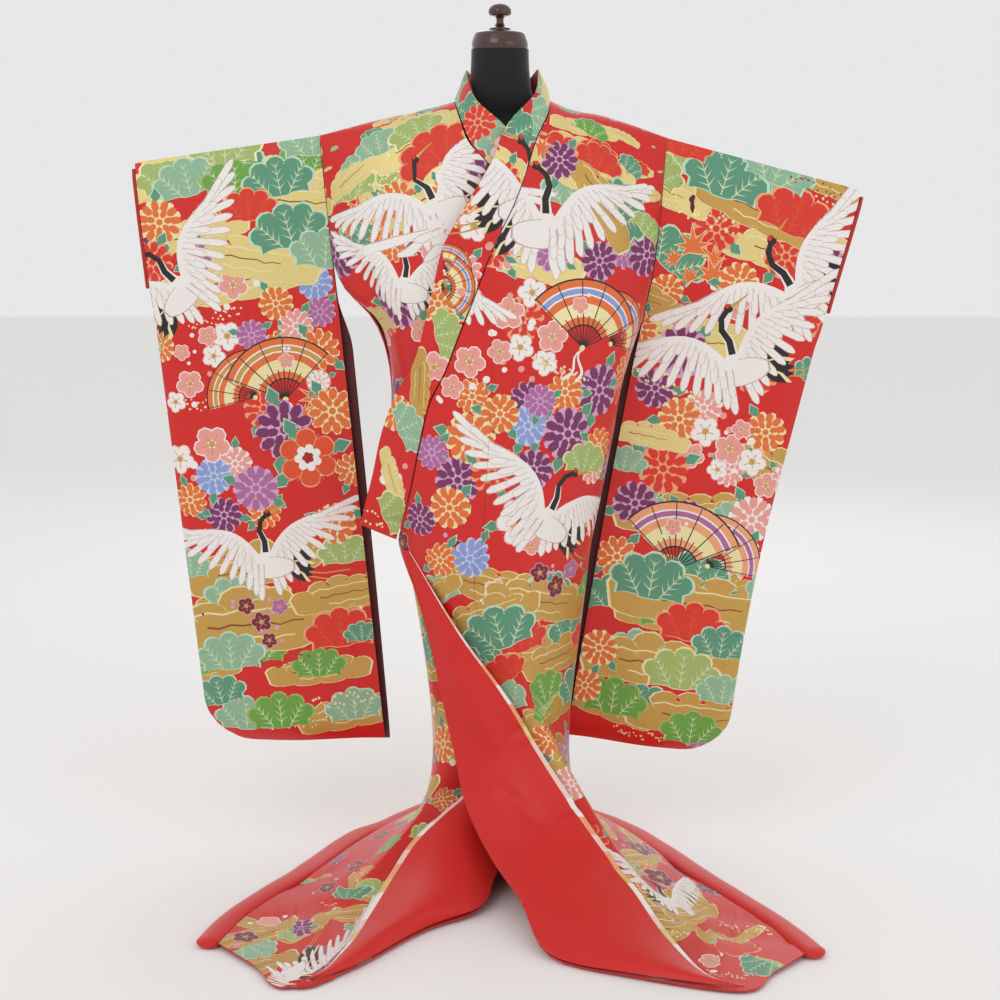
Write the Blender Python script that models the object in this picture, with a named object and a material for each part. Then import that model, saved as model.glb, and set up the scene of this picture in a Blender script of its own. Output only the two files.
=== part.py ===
"""Uchikake wedding kimono worn by a limbless dress form, with its skirt spread on the floor.

Metres, +Z up, the front faces -Y and +X is the wearer's left. The origin lies on the floor
under the form's pole. Every cloth piece is a wall of even thickness on a surface that is
worked out from the tables of sections below.
"""

import math
from functools import lru_cache

import bmesh
import bpy
import numpy as np
from mathutils import Vector

# Driving sizes
CLOTH = 0.0022
COLLAR_CLOTH = 0.0040
TURN_CLOTH = 0.0030
SEAM_GAP = 0.0004
WRAP_LIFT = 0.0090
HEM_ROLL_WIDTH = 0.042
HEM_ROLL_HEIGHT = 0.018
MOUTH_ROLL_RADIUS = 0.0032
MOUTH_LENGTH = 0.23
ARMHOLE_LENGTH = 0.225
LINING_CLOTH = 0.0012
CHEST_TOP = 1.16
WAIST_EDGE = 0.60
POLE_RADIUS = 0.016
BASE_RADIUS = 0.115
BASE_HEIGHT = 0.014

# Body sections: height, left side, right side, front depth, back depth, roundness, armhole half gap
RINGS = (
    (0.600, -0.180, 0.170, 0.128, 0.122, 2.10, 0.0003),
    (0.660, -0.193, 0.182, 0.130, 0.124, 2.10, 0.0003),
    (0.720, -0.203, 0.193, 0.132, 0.125, 2.10, 0.0003),
    (0.790, -0.200, 0.206, 0.132, 0.122, 2.10, 0.0003),
    (0.880, -0.197, 0.221, 0.132, 0.118, 2.00, 0.0003),
    (0.930, -0.204, 0.235, 0.132, 0.120, 1.95, 0.0003),
    (1.000, -0.232, 0.257, 0.132, 0.124, 1.75, 0.0010),
    (1.048, -0.277, 0.2665, 0.130, 0.128, 1.60, 0.0060),
    (1.100, -0.2980, 0.2755, 0.126, 0.130, 1.50, 0.0110),
    (1.160, -0.3040, 0.2830, 0.122, 0.128, 1.45, 0.0120),
)

# Shoulder line: across, height
SHOULDER = (
    (-0.3195, 1.3205), (-0.230, 1.344), (-0.142, 1.364), (-0.097, 1.374), (0.0, 1.405),
    (0.0886, 1.381), (0.120, 1.367), (0.177, 1.356), (0.248, 1.334), (0.2955, 1.3165),
)

# Collar of the top front: seam across, seam height, free edge across, height, lift off the body
COLLAR_TOP = (
    (0.0886, 1.381, 0.0640, 1.432, 0.004),
    (0.0810, 1.352, 0.0480, 1.392, 0.040),
    (0.0620, 1.312, 0.0106, 1.340, 0.022),
    (0.0440, 1.255, -0.0145, 1.274, 0.016),
    (0.0245, 1.203, -0.0410, 1.227, 0.012),
    (0.0000, 1.153, -0.0695, 1.178, 0.011),
    (-0.0220, 1.100, -0.0950, 1.129, 0.010),
    (-0.0435, 1.042, -0.1090, 1.070, 0.010),
    (-0.0660, 0.985, -0.1230, 1.001, 0.010),
    (-0.0930, 0.912, -0.1400, 0.932, 0.010),
    (-0.1190, 0.858, -0.1690, 0.872, 0.010),
    (-0.1360, 0.786, -0.1950, 0.800, 0.010),
    (-0.1510, 0.712, -0.2120, 0.724, 0.010),
    (-0.1640, 0.655, -0.2260, 0.672, 0.010),
    (-0.1770, 0.606, -0.2350, 0.632, 0.010),
)

# Collar of the front beneath, from the shoulder to its hidden end
COLLAR_UNDER = (
    (-0.0800, 1.379, -0.0570, 1.430, 0.004),
    (-0.0690, 1.350, -0.0330, 1.385, 0.040),
    (-0.0500, 1.305, 0.0060, 1.338, 0.018),
    (-0.0140, 1.262, 0.0350, 1.300, 0.006),
    (0.0000, 1.200, 0.0600, 1.225, 0.001),
    (0.0200, 1.110, 0.0840, 1.130, 0.000),
    (0.0440, 1.020, 0.1080, 1.030, 0.000),
    (0.0660, 0.920, 0.1300, 0.928, 0.000),
    (0.0850, 0.800, 0.1460, 0.806, 0.000),
    (0.0980, 0.700, 0.1500, 0.704, 0.000),
    (0.1100, 0.606, 0.1530, 0.610, 0.000),
)

# Overlap seam on the top front and on the front beneath: height, across
PANEL_SEAM_TOP = (
    (1.100, -0.010), (0.980, -0.013), (0.850, -0.015), (0.720, -0.024), (0.600, -0.031),
)
PANEL_SEAM_UNDER = (
    (1.100, 0.006), (0.980, 0.004), (0.850, 0.000), (0.720, 0.000), (0.600, 0.000),
)

# Turned-back front edge, from waist to toe: share, fold x, y, z, then free edge x, y, z
EDGE_TOP = (
    (0.000, -0.180, -0.052, 0.600, -0.168, -0.066, 0.597),
    (0.160, -0.128, -0.085, 0.430, -0.061, -0.125, 0.434),
    (0.255, -0.103, -0.108, 0.318, 0.015, -0.150, 0.335),
    (0.355, -0.081, -0.130, 0.222, 0.080, -0.180, 0.233),
    (0.420, -0.063, -0.170, 0.148, 0.124, -0.215, 0.173),
    (0.495, -0.028, -0.245, 0.090, 0.174, -0.280, 0.115),
    (0.600, 0.032, -0.395, 0.052, 0.235, -0.390, 0.060),
    (0.700, 0.090, -0.545, 0.010, 0.283, -0.510, 0.024),
    (0.770, 0.215, -0.612, 0.009, 0.325, -0.620, 0.013),
    (0.842, 0.3764, -0.668, 0.009, 0.3840, -0.664, 0.010),
)
EDGE_UNDER = (
    (0.000, 0.110, -0.087, 0.600, 0.102, -0.090, 0.600),
    (0.130, 0.095, -0.079, 0.430, 0.045, -0.103, 0.430),
    (0.275, 0.070, -0.086, 0.250, 0.005, -0.122, 0.245),
    (0.367, 0.060, -0.098, 0.150, -0.071, -0.114, 0.138),
    (0.430, 0.040, -0.125, 0.095, -0.121, -0.145, 0.103),
    (0.480, 0.020, -0.165, 0.062, -0.160, -0.195, 0.077),
    (0.540, -0.006, -0.240, 0.038, -0.191, -0.265, 0.048),
    (0.630, -0.036, -0.345, 0.016, -0.229, -0.405, 0.024),
    (0.720, -0.140, -0.440, 0.009, -0.2559, -0.535, 0.0160),
    (0.770, -0.239, -0.585, 0.009, -0.2850, -0.615, 0.0120),
    (0.824, -0.328, -0.652, 0.009, -0.3350, -0.648, 0.0100),
)

# Lower skirt: share, then x, y, z of the front, side, back quarter and centre back
SKIRT_TOP = (
    (0.160, 0.050, -0.126, 0.440, 0.152, 0.000, 0.450, 0.082, 0.104, 0.455, 0.000, 0.116, 0.460),
    (0.355, 0.105, -0.105, 0.240, 0.128, 0.002, 0.245, 0.072, 0.090, 0.275, 0.000, 0.108, 0.300),
    (0.495, 0.165, -0.150, 0.105, 0.122, 0.006, 0.125, 0.080, 0.105, 0.150, 0.000, 0.120, 0.170),
    (0.600, 0.235, -0.225, 0.046, 0.136, 0.010, 0.088, 0.088, 0.120, 0.090, 0.000, 0.140, 0.095),
    (0.700, 0.300, -0.270, 0.024, 0.175, 0.020, 0.060, 0.102, 0.142, 0.052, 0.000, 0.168, 0.045),
    (0.842, 0.345, -0.262, 0.016, 0.232, 0.034, 0.028, 0.125, 0.168, 0.024, 0.000, 0.208, 0.020),
)
SKIRT_UNDER = (
    (0.130, -0.050, -0.097, 0.440, -0.151, 0.000, 0.450, -0.082, 0.104, 0.455, 0.000, 0.116, 0.460),
    (0.275, -0.090, -0.088, 0.250, -0.126, 0.002, 0.252, -0.074, 0.092, 0.275, 0.000, 0.109, 0.300),
    (0.430, -0.150, -0.110, 0.105, -0.126, 0.006, 0.118, -0.082, 0.105, 0.150, 0.000, 0.120, 0.170),
    (0.540, -0.225, -0.205, 0.046, -0.146, 0.010, 0.080, -0.090, 0.120, 0.090, 0.000, 0.140, 0.095),
    (0.720, -0.290, -0.255, 0.022, -0.180, 0.024, 0.045, -0.104, 0.142, 0.052, 0.000, 0.168, 0.045),
    (0.824, -0.330, -0.252, 0.016, -0.222, 0.040, 0.026, -0.128, 0.168, 0.024, 0.000, 0.208, 0.020),
)
SKIRT_SHARES = (0.0, 0.18, 0.40, 0.62, 0.82, 1.0)
SIDE_SHARE = 0.62
WAIST_BLEND = 0.12
HEM_BLEND = 0.14
FOLD_DROP = 0.0035
FREE_DROP = 0.018
FLOOR_CLOTH = 0.007
HEM_SEAT_HEIGHT = 0.0119

# Hem on the floor, from the toe of the front edge to the centre back: x, y
HEM_TOP = (
    (0.537, -0.530), (0.486, -0.386), (0.434, -0.276), (0.381, -0.165), (0.339, -0.067),
    (0.306, 0.003), (0.266, 0.081), (0.215, 0.150), (0.150, 0.215), (0.080, 0.262), (0.0, 0.285),
)
HEM_UNDER = (
    (-0.506, -0.490), (-0.473, -0.360), (-0.429, -0.257), (-0.383, -0.165), (-0.344, -0.072),
    (-0.310, 0.009), (-0.281, 0.063), (-0.242, 0.104), (-0.200, 0.165), (-0.155, 0.222),
    (-0.080, 0.268), (0.0, 0.285),
)

# Sleeves: share down, inner edge x, z, outer edge x, z
SLEEVE_RIGHT = (
    (0.0, -0.3200, 1.3205, -0.6480, 1.2740),
    (0.2, -0.2990, 1.0984, -0.6268, 1.0612),
    (1.0, -0.2150, 0.2100, -0.5420, 0.2100),
)
SLEEVE_LEFT = (
    (0.0, 0.2960, 1.3165, 0.6425, 1.2250),
    (0.2, 0.2765, 1.0952, 0.5860, 1.0162),
    (0.4, 0.2350, 0.8739, 0.5350, 0.8074),
    (0.6, 0.1960, 0.6526, 0.4860, 0.5986),
    (0.8, 0.1600, 0.4313, 0.4490, 0.3898),
    (1.0, 0.1250, 0.2100, 0.4210, 0.1810),
)
SLEEVE_CORNER = 0.090
SLEEVE_SEAM_HALF = 0.0003
SLEEVE_DEPTH = 0.034
SLEEVE_SEAM_DEPTH = 0.024
SLEEVE_FOLD_REACH = 0.15
SLEEVE_EDGE_REACH = 0.05
FURI_SHIFT = 0.018
SLEEVE_SET_BACK = {-1: 0.012, 1: 0.034}

# Places of the sleeve's own grid: metres from its inner edge, turns round the corner, shares down
SLEEVE_COLUMNS = (0.0, 0.004, 0.02, 0.055, 0.11, 0.165, 0.205)
CORNER_TURNS = (0.0, 0.35, 0.7, 1.05, 1.35, 1.52)
SLEEVE_ROWS = (0.0004, 0.004, 0.02, 0.06, 0.12, 0.20, 0.29, 0.40, 0.52, 0.64, 0.76, 0.87, 0.94, 0.975,
               0.993, 1.0)
NORMAL_STEP = 0.003

# Facing of the sleeve's open inner edge, and piping of its mouth
FURI_TOP = ARMHOLE_LENGTH + 0.15
FURI_END_MARGIN = 0.060
FURI_EDGE = 0.002
FURI_WIDTH = 0.050
FURI_SEAT = {-1: 0.0016, 1: 0.0026}
MOUTH_TOP = 0.012
MOUTH_HALF_OPEN = 0.0055

# Levels of the nape and of the overlap panel's tip, and the sheet's share kept at each seam
NAPE_LEVEL = 1.467
PANEL_TIP_LEVEL = 0.86
PANEL_TIP_REACH = 0.20
PANEL_TIP_SHARE = 0.006
PANEL_SEAM_PLACES = (-1.0, -0.6, -0.35, -0.16, 0.0)
PANEL_SEAM_SHARES = (0.24, 0.235, 0.23, 0.24)
SEAM_SHARE = 0.0003
COLLAR_SEAM_SHARE = 0.0016

# Rows of the body's grid by level, and of the skirt's by share down to the hem
BODY_PLACES = (1.9985, 1.93, 1.82, 1.68, 1.56, NAPE_LEVEL + 0.02, NAPE_LEVEL, 1.25, 1.0, PANEL_TIP_LEVEL,
               PANEL_TIP_LEVEL - 0.012, 0.72, 0.58, 0.44, 0.30, 0.15, 0.0)
SKIRT_PLACES = (-0.08, -0.16, -0.255, -0.355, -0.43, -0.495, -0.56, -0.63, -0.70, -0.77, -0.85, -0.92, -1.0)

# Collar round the back of the neck: rows, how far round, rise at the nape and at the shoulder
NECK_ROWS = 6
NECK_TURN = 0.86
NECK_STEPS = NECK_ROWS + 3
COLLAR_RISE = 0.070
COLLAR_RISE_LOSS = 0.018
COLLAR_LEAN_ACROSS = 0.74
COLLAR_LEAN_BACK = 0.86
COLLAR_BASE = {True: 0.0015, False: 0.0004}
COLLAR_CROWN = {True: 0.003, False: 0.0}

# Layer turned outward along the front edge
TURN_START = {True: 0.012, False: 0.055}
TURN_SEAT = 0.0006
TURN_BULGE = 0.09

# Hem roll: shares of the hem where it starts and ends, and its play at the floor and at the cloth
HEM_ROLL_START = 0.004
HEM_ROLL_END = 0.9935
HEM_ROLL_PLAY = 0.0002

# Form: height, half width, half depth, centre in depth
FORM_RINGS = (
    (0.715, 0.138, 0.090, 0.000), (0.730, 0.150, 0.100, 0.000), (0.800, 0.148, 0.100, 0.000),
    (0.880, 0.132, 0.092, 0.000), (0.950, 0.122, 0.086, 0.000), (1.020, 0.130, 0.092, 0.000),
    (1.100, 0.146, 0.104, 0.000), (1.160, 0.155, 0.108, 0.000), (1.220, 0.160, 0.098, 0.002),
    (1.270, 0.164, 0.082, 0.004), (1.300, 0.164, 0.072, 0.005), (1.325, 0.158, 0.061, 0.006),
    (1.340, 0.148, 0.053, 0.006), (1.352, 0.130, 0.046, 0.006), (1.360, 0.108, 0.045, 0.005),
    (1.368, 0.086, 0.047, 0.004), (1.378, 0.069, 0.049, 0.003), (1.392, 0.058, 0.050, 0.001),
    (1.420, 0.053, 0.050, 0.000), (1.450, 0.051, 0.049, 0.000), (1.4700, 0.0505, 0.0485, 0.000),
)
CAP_PROFILE = ((0.0, 1.4704), (0.0485, 1.4704), (0.0500, 1.4760), (0.0470, 1.4900), (0.0430, 1.4980),
               (0.0360, 1.5010), (0.0, 1.5010))
KNOB_PROFILE = ((0.0, 1.5014), (0.0185, 1.5014), (0.0190, 1.5050), (0.0110, 1.5090), (0.0065, 1.5160),
                (0.0075, 1.5240), (0.0190, 1.5290), (0.0205, 1.5350), (0.0165, 1.5430), (0.0070, 1.5480),
                (0.0, 1.5484))

MATERIALS = {
    "brocade": ((0.62, 0.035, 0.02), 0.55, 0.0),
    "red_silk": ((0.80, 0.03, 0.015), 0.45, 0.0),
    "dark_silk": ((0.16, 0.008, 0.010), 0.6, 0.0),
    "black_velvet": ((0.010, 0.011, 0.016), 0.9, 0.0),
    "turned_wood": ((0.070, 0.028, 0.018), 0.3, 0.0),
    "stand_metal": ((0.05, 0.05, 0.052), 0.4, 0.6),
}


def smooth_line(knots, values, where):
    """Cubic curve through the values at the knots, read at the given places."""
    knots = np.asarray(knots, float)
    values = np.asarray(values, float).reshape(len(knots), -1)
    where = np.atleast_1d(np.asarray(where, float))
    slopes = np.zeros_like(values)
    steps = np.diff(values, axis=0) / np.diff(knots)[:, None]
    slopes[0] = steps[0]
    slopes[-1] = steps[-1]
    for i in range(1, len(knots) - 1):
        before = knots[i] - knots[i - 1]
        after = knots[i + 1] - knots[i]
        slopes[i] = (steps[i - 1] * after + steps[i] * before) / (before + after)
    cell = np.clip(np.searchsorted(knots, where, side="right") - 1, 0, len(knots) - 2)
    span = (knots[cell + 1] - knots[cell])[:, None]
    t = ((where - knots[cell]) / span[:, 0])[:, None]
    t = np.clip(t, 0.0, 1.0)
    return ((2 * t ** 3 - 3 * t ** 2 + 1) * values[cell]
            + (t ** 3 - 2 * t ** 2 + t) * span * slopes[cell]
            + (3 * t ** 2 - 2 * t ** 3) * values[cell + 1]
            + (t ** 3 - t ** 2) * span * slopes[cell + 1])


def smooth_step(value):
    value = min(1.0, max(0.0, value))
    return value * value * (3.0 - 2.0 * value)


def unit(vector):
    return vector / max(np.linalg.norm(vector), 1e-12)


@lru_cache(maxsize=None)
def table_line(table, column, where):
    """One column of a table, read against its first column."""
    rows = sorted(table)
    return float(smooth_line([row[0] for row in rows], [row[column] for row in rows], where)[0, 0])


@lru_cache(maxsize=None)
def shoulder_height(x):
    return float(smooth_line([row[0] for row in SHOULDER], [row[1] for row in SHOULDER], x)[0, 0])


class Ring:
    """One section of the body. Levels 0 to 1 climb to the chest top, 1 to 2 round the shoulder."""

    def __init__(self, level):
        self.rise = max(0.0, level - 1.0)
        height = WAIST_EDGE + (CHEST_TOP - WAIST_EDGE) * min(level, 1.0)
        sizes = [table_line(RINGS, column, height) for column in range(1, 7)]
        left, right, self.front, self.back, self.power, self.gap = sizes
        climb = math.sin(self.rise * math.pi / 2)
        left += (SHOULDER[0][0] - left) * climb
        right += (SHOULDER[-1][0] - right) * climb
        self.height = height
        self.centre = (left + right) / 2
        self.half = (right - left) / 2
        self.climb = climb
        self.shrink = math.cos(self.rise * math.pi / 2)

    def height_at(self, x):
        return self.height + (shoulder_height(x) - self.height) * self.climb

    def point(self, angle):
        """Angle pi is the wearer's right side, 1.5 pi the front, 2 pi the left side."""
        cosine = math.cos(angle)
        sine = math.sin(angle)
        across = math.copysign(abs(cosine) ** (2 / self.power), cosine)
        deep = abs(sine) ** (2 / self.power)
        x = self.centre + self.half * across
        if sine < 0:
            y = -(self.gap + (self.front - self.gap) * deep) * self.shrink
        else:
            y = (self.gap + (self.back - self.gap) * deep) * self.shrink
        return np.array((x, y, self.height_at(x)))

    def angle(self, x, back=False):
        across = max(-1.0, min(1.0, (x - self.centre) / self.half))
        turn = math.acos(math.copysign(abs(across) ** (self.power / 2), across))
        return turn if back else 2 * math.pi - turn


@lru_cache(maxsize=None)
def ring_at(level):
    return Ring(level)


def level_of(height, x):
    """Level of the front surface at a height, for a place x across."""
    if height <= CHEST_TOP:
        return (height - WAIST_EDGE) / (CHEST_TOP - WAIST_EDGE)
    share = (height - CHEST_TOP) / (shoulder_height(x) - CHEST_TOP)
    return 1.0 + math.asin(min(1.0, share)) * 2 / math.pi


def front_lift(x, top):
    """How far the wrapped fronts stand off the body's section at a place across."""
    share = smooth_step((0.06 - x) / 0.12)
    return WRAP_LIFT * share if top else WRAP_LIFT * (share - 1.0)


def ring_point(level, angle, lift=0.0):
    """Point of the body's section, moved out by lift along the section's own normal."""
    ring = ring_at(level)
    place = ring.point(angle)
    if lift == 0.0:
        return place
    turn = 0.01
    along = ring.point(angle + turn) - ring.point(angle - turn)
    lower = ring_at(max(level - 0.02, 0.0))
    upper = ring_at(min(level + 0.02, 2.0))
    up = upper.point(angle) - lower.point(angle)
    return place + unit(np.cross(along, up)) * lift


def column_of(table, column, heights):
    """Levels and places of one table column, as a curve read by level."""
    return [(level_of(row[heights], row[column]), row[column]) for row in table]


class Half:
    """One half of the robe: its front edge, its seams and its sheet of cloth."""

    def __init__(self, top):
        self.top = top
        self.sign = 1 if top else -1
        self.collar = COLLAR_TOP if top else COLLAR_UNDER
        self.edge = EDGE_TOP if top else EDGE_UNDER
        self.skirt = SKIRT_TOP if top else SKIRT_UNDER
        self.hem = HEM_TOP if top else HEM_UNDER
        self.seam_curve = tuple(sorted(column_of(self.collar, 0, 1)))
        seam = PANEL_SEAM_TOP if top else PANEL_SEAM_UNDER
        self.panel_curve = tuple(sorted((level_of(height, x), x) for height, x in seam))
        self.known = {}
        self.columns = self.make_columns()

    def seam_x(self, level):
        return table_line(self.seam_curve, 1, level)

    def front_angle(self, level):
        return ring_at(level).angle(self.seam_x(level))

    def side_angle(self):
        return 2 * math.pi if self.top else math.pi

    def back_angle(self, level):
        """Centre back, or the neck edge above the nape."""
        x = 0.0
        if level > NAPE_LEVEL:
            share = (2.0 - level) / (2.0 - NAPE_LEVEL)
            x = self.collar[0][0] * math.sqrt(max(0.0, 1.0 - share * share))
        turn = ring_at(level).angle(x, back=True)
        return turn + 2 * math.pi if self.top else turn

    def upper(self, share, level):
        """Sheet above the waist edge: share 0 at the front edge, 1 at the centre back."""
        side = self.side_angle()
        if share <= SIDE_SHARE:
            start = self.front_angle(level)
            angle = start + (side - start) * share / SIDE_SHARE
            return ring_point(level, angle, front_lift(ring_at(level).point(angle)[0], self.top)
                              * min(1.0, 2.2 * (SIDE_SHARE - share) / SIDE_SHARE))
        turn = (share - SIDE_SHARE) / (1.0 - SIDE_SHARE)
        angle = side + (self.back_angle(level) - side) * turn
        return ring_point(level, angle)

    def hem_point(self, share):
        """Hem outline on the floor and its inward direction."""
        points = np.array(self.hem)
        lengths = np.concatenate(([0.0], np.cumsum(np.linalg.norm(np.diff(points, axis=0), axis=1))))
        where = share * lengths[-1]
        place = smooth_line(lengths, points, where)[0]
        ahead = smooth_line(lengths, points, min(where + 0.004, lengths[-1]))[0]
        behind = smooth_line(lengths, points, max(where - 0.004, 0.0))[0]
        along = unit(ahead - behind)
        square = smooth_step((share - 0.90) / 0.09)
        along = unit(along * (1 - square) + np.array((-self.sign, 0.0)) * square)
        inward = np.array((-along[1], along[0])) * self.sign
        return place, inward, along

    def make_columns(self):
        """Six curves down the skirt: knots and points, from just above the waist edge to the hem."""
        columns = []
        for k, share in enumerate(SKIRT_SHARES):
            knots = [-0.16, -0.08, 0.0]
            points = [self.upper(share, -knot) for knot in knots]
            if k < 2:
                for row in self.edge[1:]:
                    fold, free, along = self.turn_frame(row[0])
                    seat = (fold, free)[k] - self.turn_normal(row[0]) * (FOLD_DROP, FREE_DROP)[k]
                    seat[2] = max(seat[2], FLOOR_CLOTH)
                    knots.append(row[0])
                    points.append(seat)
                if k == 0:
                    knots.append((knots[-1] + 1.0) / 2)
                    points.append((points[-1] + self.hem_seat(share)) / 2)
                else:
                    knots = knots[:-1]
                    points = points[:-1]
            else:
                start = 1 + 3 * (k - 2)
                for row in self.skirt:
                    knots.append(row[0])
                    points.append(np.array(row[start:start + 3]))
            knots.append(1.0)
            points.append(self.hem_seat(share))
            columns.append((knots, points))
        return columns

    def hem_seat(self, share):
        """Edge of the brocade behind the padded hem."""
        place, inward, along = self.hem_point(share)
        place = place + inward * HEM_ROLL_WIDTH
        if share < 0.06:
            place = place + along * HEM_ROLL_WIDTH * 0.25 * (1 - share / 0.06)
        return np.array((place[0], place[1], HEM_SEAT_HEIGHT))

    def turn_frame(self, share):
        rows = self.edge
        lines = smooth_line([row[0] for row in rows], [row[1:] for row in rows], (share - 0.01, share + 0.01))
        middle = smooth_line([row[0] for row in rows], [row[1:] for row in rows], share)[0]
        along = unit((lines[1][:3] + lines[1][3:]) - (lines[0][:3] + lines[0][3:]))
        return middle[:3], middle[3:], along

    def turn_normal(self, share):
        """Outward direction of the turned-back edge, towards the viewer and up."""
        fold, free, along = self.turn_frame(share)
        normal = unit(np.cross(along, free - fold))
        return normal * (1 if normal[2] - normal[1] > 0 else -1)

    def turn_point(self, share, across, lift):
        """Turned-back layer: across 0 on the fold, 1 on the free edge."""
        fold, free, along = self.turn_frame(share)
        bulge = TURN_BULGE * np.linalg.norm(free - fold) * math.sin(math.pi * across)
        return fold + (free - fold) * across + self.turn_normal(share) * (lift + bulge)

    def across(self, down):
        """The six control points at one place down the skirt, worked out once."""
        if down not in self.known:
            self.known[down] = [smooth_line(knots, points, down)[0] for knots, points in self.columns]
        return self.known[down]

    def lower(self, share, down):
        """Sheet below the waist edge: down 0 at the waist edge, 1 at the hem."""
        place = smooth_line(SKIRT_SHARES, self.across(down), share)[0]
        if down < WAIST_BLEND:
            waist = self.upper(share, 0.0) - smooth_line(SKIRT_SHARES, self.across(0.0), share)[0]
            place = place + waist * (1 - smooth_step(down / WAIST_BLEND))
        if down > 1 - HEM_BLEND:
            hem = self.hem_seat(share) - smooth_line(SKIRT_SHARES, self.across(1.0), share)[0]
            place = place + hem * smooth_step((down - 1 + HEM_BLEND) / HEM_BLEND)
        return place

    def sheet(self, share, place):
        """Place 0 to 2 is the body's level; below zero it runs down to -1 at the hem."""
        if place >= 0:
            return self.upper(share, place)
        return self.lower(share, -place)

    def panel_share(self, place):
        """Share of the seam between the overlap panel and the front panel."""
        if place >= 0:
            angle = ring_at(place).angle(table_line(self.panel_curve, 1, place))
            start = self.front_angle(place)
            share = SIDE_SHARE * (angle - start) / (self.side_angle() - start)
            taper = smooth_step((PANEL_TIP_LEVEL - place) / PANEL_TIP_REACH)
            return PANEL_TIP_SHARE + (share - PANEL_TIP_SHARE) * taper
        waist = self.panel_share(0.0)
        return float(smooth_line(PANEL_SEAM_PLACES, (*PANEL_SEAM_SHARES, waist), place)[0, 0])


def surface_normal(surface, u, v, step_u, step_v):
    along_u = surface(u + step_u, v) - surface(u - step_u, v)
    along_v = surface(u, v + step_v) - surface(u, v - step_v)
    return unit(np.cross(along_u, along_v))


def wall_from_grids(name, outer, inner, material):
    """Closed wall between an outer and an inner grid of points."""
    rows = len(outer)
    columns = len(outer[0])
    mesh = bmesh.new()
    skins = [[[mesh.verts.new(Vector(point)) for point in row] for row in grid] for grid in (outer, inner)]
    front, back = skins
    for i in range(rows - 1):
        for j in range(columns - 1):
            mesh.faces.new((front[i][j], front[i][j + 1], front[i + 1][j + 1], front[i + 1][j]))
            mesh.faces.new((back[i + 1][j], back[i + 1][j + 1], back[i][j + 1], back[i][j]))
    border = [(0, j) for j in range(columns)] + [(i, columns - 1) for i in range(1, rows)]
    border += [(rows - 1, j) for j in range(columns - 2, -1, -1)] + [(i, 0) for i in range(rows - 2, 0, -1)]
    for (i, j), (k, m) in zip(border, border[1:] + border[:1]):
        mesh.faces.new((front[k][m], front[i][j], back[i][j], back[k][m]))
    bmesh.ops.triangulate(mesh, faces=mesh.faces[:])
    bmesh.ops.recalc_face_normals(mesh, faces=mesh.faces[:])
    return finish_piece(name, mesh, material)


def finish_piece(name, mesh, material):
    if mesh.calc_volume(signed=True) < 0:
        bmesh.ops.reverse_faces(mesh, faces=mesh.faces[:])
    data = bpy.data.meshes.new(name)
    mesh.to_mesh(data)
    mesh.free()
    data.shade_smooth()
    data.set_sharp_from_angle(angle=math.radians(50))
    data.materials.append(make_material(material))
    piece = bpy.data.objects.new(name, data)
    bpy.context.scene.collection.objects.link(piece)
    return piece


def make_material(name):
    if name in bpy.data.materials:
        return bpy.data.materials[name]
    colour, roughness, metallic = MATERIALS[name]
    material = bpy.data.materials.new(name)
    material.use_nodes = True
    shader = material.node_tree.nodes["Principled BSDF"]
    shader.inputs["Base Color"].default_value = (*colour, 1.0)
    shader.inputs["Roughness"].default_value = roughness
    shader.inputs["Metallic"].default_value = metallic
    material.diffuse_color = (*colour, 1.0)
    return material


def cloth_wall(name, surface, us, vs, thickness, material, outward, keep=None):
    """Wall whose outer skin is the surface and whose inner skin is one thickness behind it."""
    outer = [[surface(u, v) for u in us] for v in vs]
    inner = []
    for row, v in zip(outer, vs):
        line = []
        for place, u in zip(row, us):
            normal = surface_normal(surface, u, v, 0.004, 0.004) * outward
            deep = place - normal * thickness
            line.append(keep(place, deep) if keep else deep)
        inner.append(line)
    return wall_from_grids(name, outer, inner, material)


def spread(start, end, count):
    return [start + (end - start) * i / (count - 1) for i in range(count)]


def strip_of_sheet(half, left_share, right_share):
    """Surface between two seams of the sheet: u runs 0 to 1 from seam to seam, v is minus the place."""
    def surface(u, v):
        place = max(min(-v, 2.0), -1.0)
        if place >= 0:
            u = min(1.0, max(0.0, u))
        start = left_share(place)
        end = right_share(place)
        return half.sheet(min(1.0, max(0.0, start + (end - start) * u)), place)
    return surface


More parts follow.
